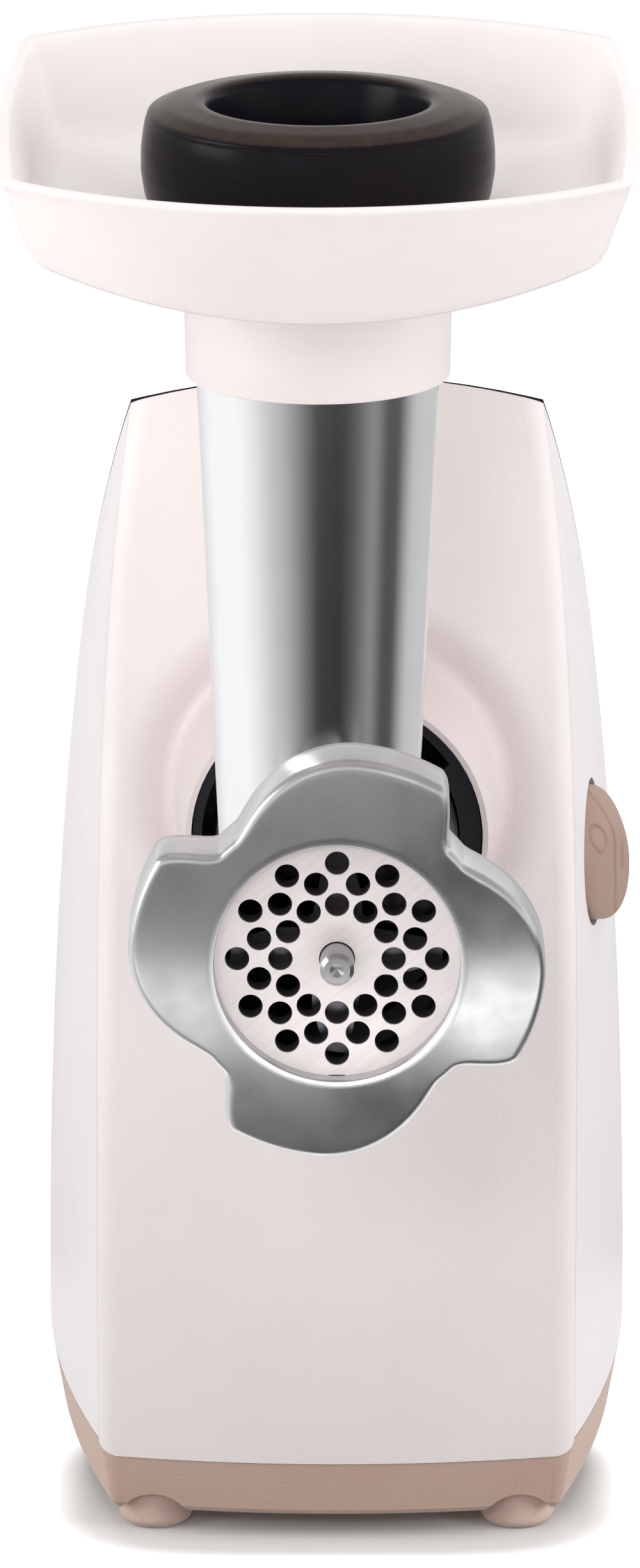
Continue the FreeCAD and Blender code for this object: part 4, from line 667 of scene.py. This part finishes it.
# %% Over the rim, down inside and across the floor
INNER_TOP, SEAT_R, SEAT_BEND = RIM_H - 1.2, 25.977, 0.6
rim = [
    (-0.25, 1.25), (-0.32, 0.75), (-0.2, 0.3), (0.15, 0.05),
    (0.6, 0.0), (1.5, 0.0), (1.9, 0.12), (2.15, 0.5),
]
inside = [raised(tray_plan(RIM_H - below, inset), RIM_H - below) for inset, below in rim]
for step in np.linspace(0, 1, 9):
    height = (1 - step) * INNER_TOP + step * (floor_h + COVE)
    inside.append(raised(tray_plan(height, TRAY_WALL), height))
for bend in np.radians([15, 30, 45, 60, 75, 90]):
    height = floor_h + COVE * (1 - np.sin(bend))
    inside.append(raised(tray_plan(height, TRAY_WALL + COVE * (1 - np.cos(bend))), height))
floor_edge = inside[-1][:, :2]
for step in np.linspace(0, 1, 12)[1:]:
    flat = (1 - step) * floor_edge + step * (SEAT_R + SEAT_BEND) * ray
    inside.append(raised(flat, trough(flat[:, 0], TRAY_WALL)))
print("rows over the rim and inside:", len(inside))

# %% Through the throat and back up the collar
TUBE_X, TUBE_Y = -4.0, -64.0
COLLAR_FOOT, COLLAR_H, SOCKET_R, SOCKET_H = 27.5, 111.7, 26.277, 128.2
THROAT_R, SEAT_H = 23.377, 146.3
throat = [
    (SEAT_R, SEAT_H - 1.0), (SEAT_R - 0.3, SEAT_H - 0.3), (SEAT_R - 1.0, SEAT_H), (THROAT_R + 1.0, SEAT_H),
    (THROAT_R + 0.3, SEAT_H - 0.3), (THROAT_R, SEAT_H - 1.0), (THROAT_R, SOCKET_H), (SOCKET_R, SOCKET_H),
    (SOCKET_R, COLLAR_H + 0.3), (SOCKET_R + 0.3, COLLAR_H), (COLLAR_FOOT - 0.5, COLLAR_H),
    (COLLAR_FOOT - 0.1, COLLAR_H + 0.2), (COLLAR_FOOT, COLLAR_H + 0.7),
]
collar = [raised(radius * ray, height) for radius, height in throat]
join_h = trough(COLLAR_TOP * ray[:, 0], 0.0)
for wider, below in ((0.0, 1.0), (0.35, 0.35)):
    collar.append(raised((COLLAR_TOP + wider) * ray, join_h - below))
tray_net = np.stack(outside + inside + collar + outside[:1]) + np.array([TUBE_X, TUBE_Y, AXIS_Z])
piece_from_net("white_pan", tray_net, white_tray, "tray_body", ["tray"])

# %% [markdown]
# ## The pusher
#
# The pusher is a hollow black moulding, turned about the tube's axis: a long plunger, a stop that
# rests on the tray, and a barrel-shaped grip with an open top. A screw modifier would spin a drawn
# curve; here the same spin is one line of numpy, after the profile's corners have been rounded.

# %% Rounded profiles, spun
RUN_SHARE = 0.45


def rounded(corners, cut, steps=6):
    """Each corner becomes a parabola between points a cut away on its runs: (1-t)²A + 2t(1-t)C + t²B."""
    corners = np.array(corners, dtype=float)
    before, at, after = corners[:-2], corners[1:-1], corners[2:]
    t = np.linspace(0, 1, steps)[None, :, None]

    def near(other):
        way = other - at
        length = np.linalg.norm(way, axis=1, keepdims=True)
        return at + way / length * np.minimum(cut, RUN_SHARE * length)

    a, b = near(before)[:, None], near(after)[:, None]
    bends = (1 - t) ** 2 * a + 2 * t * (1 - t) * at[:, None] + t * t * b
    return np.concatenate([corners[:1], bends.reshape(-1, 2), corners[-1:]])


def spun(profile, count, centre):
    """A profile of radius and height turned about an upright axis."""
    turn = np.linspace(0, 2 * np.pi, count, endpoint=False)
    x = profile[:, :1] * np.cos(turn) + centre[0]
    y = profile[:, :1] * np.sin(turn) + centre[1]
    return np.stack([x, y, np.repeat(profile[:, 1:], count, axis=1) + centre[2]], axis=-1)


# %% The pusher's profile
CORNER_CUT, PUSHER_POINTS = 0.9, 144
PLUNGER_R, BORE_R = 22.877, 20.477
pusher_corners = [
    (0, 26), (17.6, 26), (18.5, 27.5), (PLUNGER_R, 128), (PLUNGER_R, 146.6), (34.3, 146.6), (35.75, 150.2),
    (36.5, 155), (36.45, 159.5), (35.95, 163.6), (35.45, 165.9), (35.1, 166.15), (35.3, 166.4),
    (34.9, 167.3), (31.0, 168.75), (25.4, 169.55), (23.5, 169.3), (22.6, 168.0), (21.0, 160.5),
    (BORE_R, 157.0), (BORE_R, 128), (16.08, 31), (15.0, 29), (0, 29),
]
pusher_net = spun(rounded(pusher_corners, CORNER_CUT), PUSHER_POINTS, (TUBE_X, TUBE_Y, AXIS_Z))
piece_from_net("black_pusher", pusher_net, black_knob, "pusher_body", ["pusher"])

# %% [markdown]
# ## The switch rocker
#
# The round rocker is a shallow dome with a crease down its middle, so one half stands out while the
# other lies back. The off and on marks are fine grooves of the moulding. They could be cut with
# booleans, but as a height over a disc the whole is one formula: the lower of two slopes and a dome,
# less the marks and the crease.

# %% The rocker's height
CREST, FRONT_SLOPE, BACK_SLOPE, TIP = 5.0, 0.321, 0.247, 0.07
DOME_R, DOME_BASE, DOME_BACK, DOME_DOWN = 28.88, -21.88, 6.08, 4
OFF_BACK, OFF_UP, OFF_R, OFF_SQUEEZE = -6.4, 4.6, 3.2, 0.75
ON_BACK, ON_UP, ON_HALF = 4.4, -2.8, 3.0
GROOVE, MARK_WIDE, CREASE_WIDE = 0.7, 0.34, 0.35
CREST_BLEND, DOME_BLEND = 0.06, 0.3


def softly_lower(a, b, blend):
    """The lower of two heights, melted together: -k log(exp(-a/k) + exp(-b/k))."""
    return -blend * np.logaddexp(-a / blend, -b / blend)


def groove(gap, width):
    """Depth of a groove at a gap from its middle line: the full depth times e to the -(gap / width)²."""
    return GROOVE * np.exp(-((gap / width) ** 2))


def rocker_height(back, up):
    """Two slopes meeting in a crease, cut by a dome, with an engraved ring and an engraved bar."""
    halves = softly_lower(CREST + FRONT_SLOPE * back, CREST + BACK_SLOPE * back, CREST_BLEND)
    dome = DOME_BASE + np.sqrt(DOME_R**2 - (back - DOME_BACK) ** 2 - (up + DOME_DOWN) ** 2)
    off_gap = np.hypot((back - OFF_BACK) / OFF_SQUEEZE, up - OFF_UP) - OFF_R
    on_gap = np.hypot(back - ON_BACK, np.maximum(np.abs(up - ON_UP) - ON_HALF, 0))
    marks = groove(off_gap, MARK_WIDE) + groove(on_gap, MARK_WIDE)
    return softly_lower(halves + TIP * up, dome, DOME_BLEND) - marks - groove(back, CREASE_WIDE)


# %% The rocker's disc
ROCKER_R, EDGE_R, INNER_END = 15.1, 0.8, -6.0
ROCKER_RINGS, ROCKER_POINTS = 60, 224
over_edge = ROCKER_R - EDGE_R * (1 - np.sin(np.radians([30, 60, 90])))
reach = np.concatenate([np.linspace(0, ROCKER_R - EDGE_R, ROCKER_RINGS), over_edge])
turn = np.linspace(0, 2 * np.pi, ROCKER_POINTS, endpoint=False)
back, up = reach[:, None] * np.cos(turn), reach[:, None] * np.sin(turn)
past = np.maximum(reach - ROCKER_R + EDGE_R, 0)
drop = EDGE_R - np.sqrt(np.maximum(EDGE_R**2 - past**2, 0))
out = rocker_height(back, up) - drop[:, None]
back = np.concatenate([back, back[-1:], 0 * back[-1:]])
up = np.concatenate([up, up[-1:], 0 * up[-1:]])
out = np.concatenate([out, np.full((2, ROCKER_POINTS), INNER_END)])
print("rocker stands out by, mm:", out.max())

# %% The rocker in its place
ROCKER_AT = np.array([57.127, 40.0, 150.3])
CANT, LEAN = math.radians(8), math.radians(5)
axes = np.array([
    (math.cos(CANT) * math.cos(LEAN), -math.sin(CANT) * math.cos(LEAN), math.sin(LEAN)),
    (math.sin(CANT), math.cos(CANT), 0),
    (-math.cos(CANT) * math.sin(LEAN), math.sin(CANT) * math.sin(LEAN), math.cos(LEAN)),
])
rocker_net = ROCKER_AT + np.stack([out, back, up], axis=-1) @ axes
piece_from_net("switch_disc", rocker_net, tan_switch, "rocker", ["switch_rocker"], crease=60)

# %% [markdown]
# ## The studio
#
# The object stands on a white table in a white room. The floor is an ordinary white surface that
# takes the shadow; beyond the shadow it has light of its own for the camera, so that it melts into
# the background. Light that bounces sees it darker near the object, as a grey card would be, so
# little comes back up under the base. A curved backdrop would do as well, but it takes more room.

# %% The floor
bpy.context.scene.view_settings.view_transform = "Standard"
FLOOR_WHITE, FLOOR_CARD, FLOOR_GLOW, FLOOR_MIRRORED = 0.86, 0.3, 0.95, 0.9
CARD_ENDS, SHADOW_ENDS = (4.0, 120.0), (0.8, 1.45)
floor_finish, tree, shader = fresh("studio_floor")
rays = node(tree, "LightPath").outputs
place = node(tree, "TexCoord").outputs["Object"]
oblong = {"Vector": place, "Location": (0, -0.86, 0), "Scale": (16.4, 27.0, 0)}
around = node(tree, "Mapping", oblong).outputs["Vector"]
squared = node(tree, "VectorMath", {0: around, 1: around}, operation="MULTIPLY").outputs["Vector"]
away = node(tree, "VectorMath", {0: squared}, operation="LENGTH").outputs["Value"]
card = ranged(tree, away, *CARD_ENDS, FLOOR_CARD, FLOOR_WHITE)
shown = maths(tree, "MULTIPLY", rays["Is Camera Ray"], FLOOR_WHITE)
fade = ranged(tree, away, *SHADOW_ENDS, 0.0, FLOOR_GLOW, soft=True)
glow = maths(tree, "MULTIPLY", rays["Is Camera Ray"], fade)
fed(tree, shader, {
    "Base Color": maths(tree, "MAXIMUM", card, shown),
    "Roughness": 0.9,
    "Specular IOR Level": 0.0,
    "Emission Color": (1, 1, 1, 1),
    "Emission Strength": maths(tree, "MULTIPLY_ADD", rays["Is Glossy Ray"], FLOOR_MIRRORED, glow),
})


ONE_FACE = [(0, 1, 2, 3)]


def sheet_mesh(name, points, faces):
    """A plain mesh from points in metres."""
    mesh = bpy.data.meshes.new(name)
    mesh.from_pydata(points, [], faces)
    return mesh


floor_mesh = sheet_mesh("floor", [(-4, -4, 0), (4, -4, 0), (4, 4, 0), (-4, 4, 0)], ONE_FACE)
floor_mesh.materials.append(floor_finish)
floor = added("floor", floor_mesh)
floor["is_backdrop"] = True
print("floor seen from the camera:", FLOOR_WHITE, "and its own light:", FLOOR_GLOW)

# %% [markdown]
# The room is white to the camera and gives the object a soft, even light of about half that strength.
# Shiny pieces mirror it white along the walls and greyer overhead, as a studio with a dim ceiling,
# which keeps the ring's upper edges from burning out.

# %% The white room
ROOM_LIGHT = 0.48
CEILING_ENDS = (0.2, 0.6)
world = bpy.data.worlds.new("white_room")
bpy.context.scene.world = world
world.use_nodes = True
tree = world.node_tree
rays = node(tree, "LightPath").outputs
aim = node(tree, "TexCoord").outputs["Generated"]
upward = node(tree, "SeparateXYZ", {"Vector": aim}).outputs["Z"]
ceiling = ranged(tree, upward, *CEILING_ENDS, 1.0, 0.0)
in_mirrors = maths(tree, "MULTIPLY", rays["Is Glossy Ray"], ceiling)
direct = maths(tree, "MAXIMUM", rays["Is Camera Ray"], in_mirrors)
through = maths(tree, "MAXIMUM", direct, rays["Is Transmission Ray"])
strength = ranged(tree, through, 0.0, 1.0, ROOM_LIGHT, 1.0)
fed(tree, tree.nodes["Background"], {"Color": (1, 1, 1, 1), "Strength": strength})
print("light of the room:", ROOM_LIGHT)

# %% [markdown]
# ## What the metal mirrors
#
# Polished metal shows the room, so the room has a screen low round the object with dark and light
# strips, which only reflections can see: that is how a photographer draws lines on a shiny tube. The
# lines could be painted on the tube, but then they would not move with the camera.

# %% The strips of the screen
STRIPS = [
    (-180, 0.55), (-150, 0.8), (-120, 1.0), (-76, 1.0), (-60, 0.86), (-42, 0.6), (-28, 0.44), (-13, 0.2),
    (-1, 0.05), (20, 0.035), (33, 0.1), (50, 0.28), (64, 0.08), (78, 0.08), (88, 0.32), (100, 0.56),
    (120, 0.6), (180, 0.6),
]


def glowing(name, strength=1.0):
    """A material that only gives light, with its tree and its light."""
    made, tree, shader = fresh(name)
    tree.nodes.remove(shader)
    light = node(tree, "Emission", {"Strength": strength})
    fed(tree, tree.nodes["Material Output"], {"Surface": light.outputs["Emission"]})
    return made, tree, light


screen_finish, tree, light = glowing("striped_screen")
ahead = maths(tree, "MULTIPLY", place_along(tree, "Y"), -1.0)
bearing = maths(tree, "ARCTAN2", place_along(tree, "X"), ahead)
ramp = node(tree, "ValToRGB", {"Fac": ranged(tree, bearing, -math.pi, math.pi)})
stops = ramp.color_ramp.elements
while len(stops) < len(STRIPS):
    stops.new(1.0)
for stop, (degrees, _) in zip(stops, STRIPS):
    stop.position = (degrees + 180) / 360
for stop, (_, grey) in zip(stops, STRIPS):
    stop.color = (grey, grey, grey, 1)
fed(tree, light, {"Color": ramp.outputs["Color"]})
print("strips of the screen:", len(stops))

# %% The screen
def hidden_from(made, *ray_kinds):
    """An object that rays of these kinds pass by."""
    for kind in ray_kinds:
        setattr(made, "visible_" + kind, False)


def mirror_card(name, points, faces, finish):
    """A card that only reflections can see."""
    mesh = sheet_mesh(name, points, faces)
    mesh.materials.append(finish)
    made = added(name, mesh)
    hidden_from(made, "camera", "diffuse", "shadow", "transmission", "volume_scatter")
    made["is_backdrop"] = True


SCREEN_POINTS = 180
turn = np.linspace(0, 2 * np.pi, SCREEN_POINTS, endpoint=False)
edge_line = np.array([(0.2, 0.001), (0.56, 0.001), (0.56, 0.2)])
reach, height = edge_line[:, :1], edge_line[:, 1:]
screen_net = np.stack(np.broadcast_arrays(reach * np.sin(turn), -reach * np.cos(turn), height), axis=-1)
screen_quads = net_faces(*screen_net.shape[:2])
mirror_card("screen", screen_net.reshape(-1, 3).tolist(), screen_quads.tolist(), screen_finish)
print("faces of the screen:", len(screen_quads))

# %% [markdown]
# The ring and the plate look lower than the tube does. Small cards close in front of them, under the
# tube's line of sight, put light on the side lobes and on the plate.

# %% Cards for the ring and the plate
CARD_Y = -0.19
for name, strength, left, right, low, high in (
    ("card_left", 1.4, -0.11, -0.034, 0.12, 0.148),
    ("card_right", 2.1, 0.034, 0.11, 0.12, 0.148),
    ("card_plate", 3.2, -0.026, 0.026, 0.125, 0.148),
):
    corners = [(left, CARD_Y, low), (right, CARD_Y, low), (right, CARD_Y, high), (left, CARD_Y, high)]
    mirror_card(name, corners, ONE_FACE, glowing(name, strength)[0])
    print(name, "strength", strength)

# %% [markdown]
# ## Lamps and camera
#
# A soft lamp in front washes the panel, and a flag keeps part of it off the lower housing. Two more
# light the sides and one hangs overhead, as in a product studio. Only the left one shows in shiny
# pieces. The camera is a long lens nearly two metres away, well above the tray and tipped down by
# about 17 degrees, so that it looks over the tray's front wall.

# %% Soft lamps and a flag
def soft_lamp(name, place, aim, size, watts, mirrored):
    """A square lamp at a place in metres, looking at a point; shiny pieces mirror it or not."""
    light = bpy.data.lights.new(name, "AREA")
    light.size, light.energy = size, watts
    lamp = added(name, light)
    lamp.location = place
    lamp.rotation_euler = (Vector(aim) - Vector(place)).to_track_quat("-Z", "Y").to_euler()
    lamp.visible_camera, lamp.visible_glossy = False, mirrored
    print(name, watts, "W")


soft_lamp("front_wash", (-0.42, -1.45, 0.68), (0, 0, 0.2), 0.5, 7.4, False)
soft_lamp("key_left", (-1.35, -0.45, 0.65), (0, 0, 0.2), 0.8, 9.4, True)
soft_lamp("fill_right", (1.35, -0.45, 0.65), (0, 0, 0.2), 0.8, 12.0, False)
soft_lamp("overhead", (0.0, 0.25, 1.5), (0, 0, 0.1), 1.2, 8.8, False)
FLAG_Y, FLAG_TOP = -0.75, 0.39
flag_corners = [(-0.9, FLAG_Y, 0), (0.8, FLAG_Y, 0), (0.8, FLAG_Y, FLAG_TOP), (-0.9, FLAG_Y, FLAG_TOP)]
flag = added("flag", sheet_mesh("flag", flag_corners, ONE_FACE))
hidden_from(flag, "camera", "diffuse", "glossy", "transmission", "volume_scatter")
flag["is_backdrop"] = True

# %% The camera
lens = bpy.data.cameras.new("long_lens")
lens.sensor_width, lens.lens = 36.0, 205.8
lens.clip_start, lens.clip_end = 0.1, 20.0
camera = added("camera", lens)
camera.location = (-0.00075, -1.8657, 0.744926)
TIP_DOWN, TURN_LEFT = 16.9, 0.09
camera.rotation_euler = (math.radians(90 - TIP_DOWN), 0, math.radians(TURN_LEFT))
bpy.context.scene.camera = camera
print("camera at", list(camera.location))

# %% [markdown]
# ## The dressed object's box
#
# The box round every piece that is shown, leaving out the stage, is found.

# %% The box of the dressed object
low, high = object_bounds()
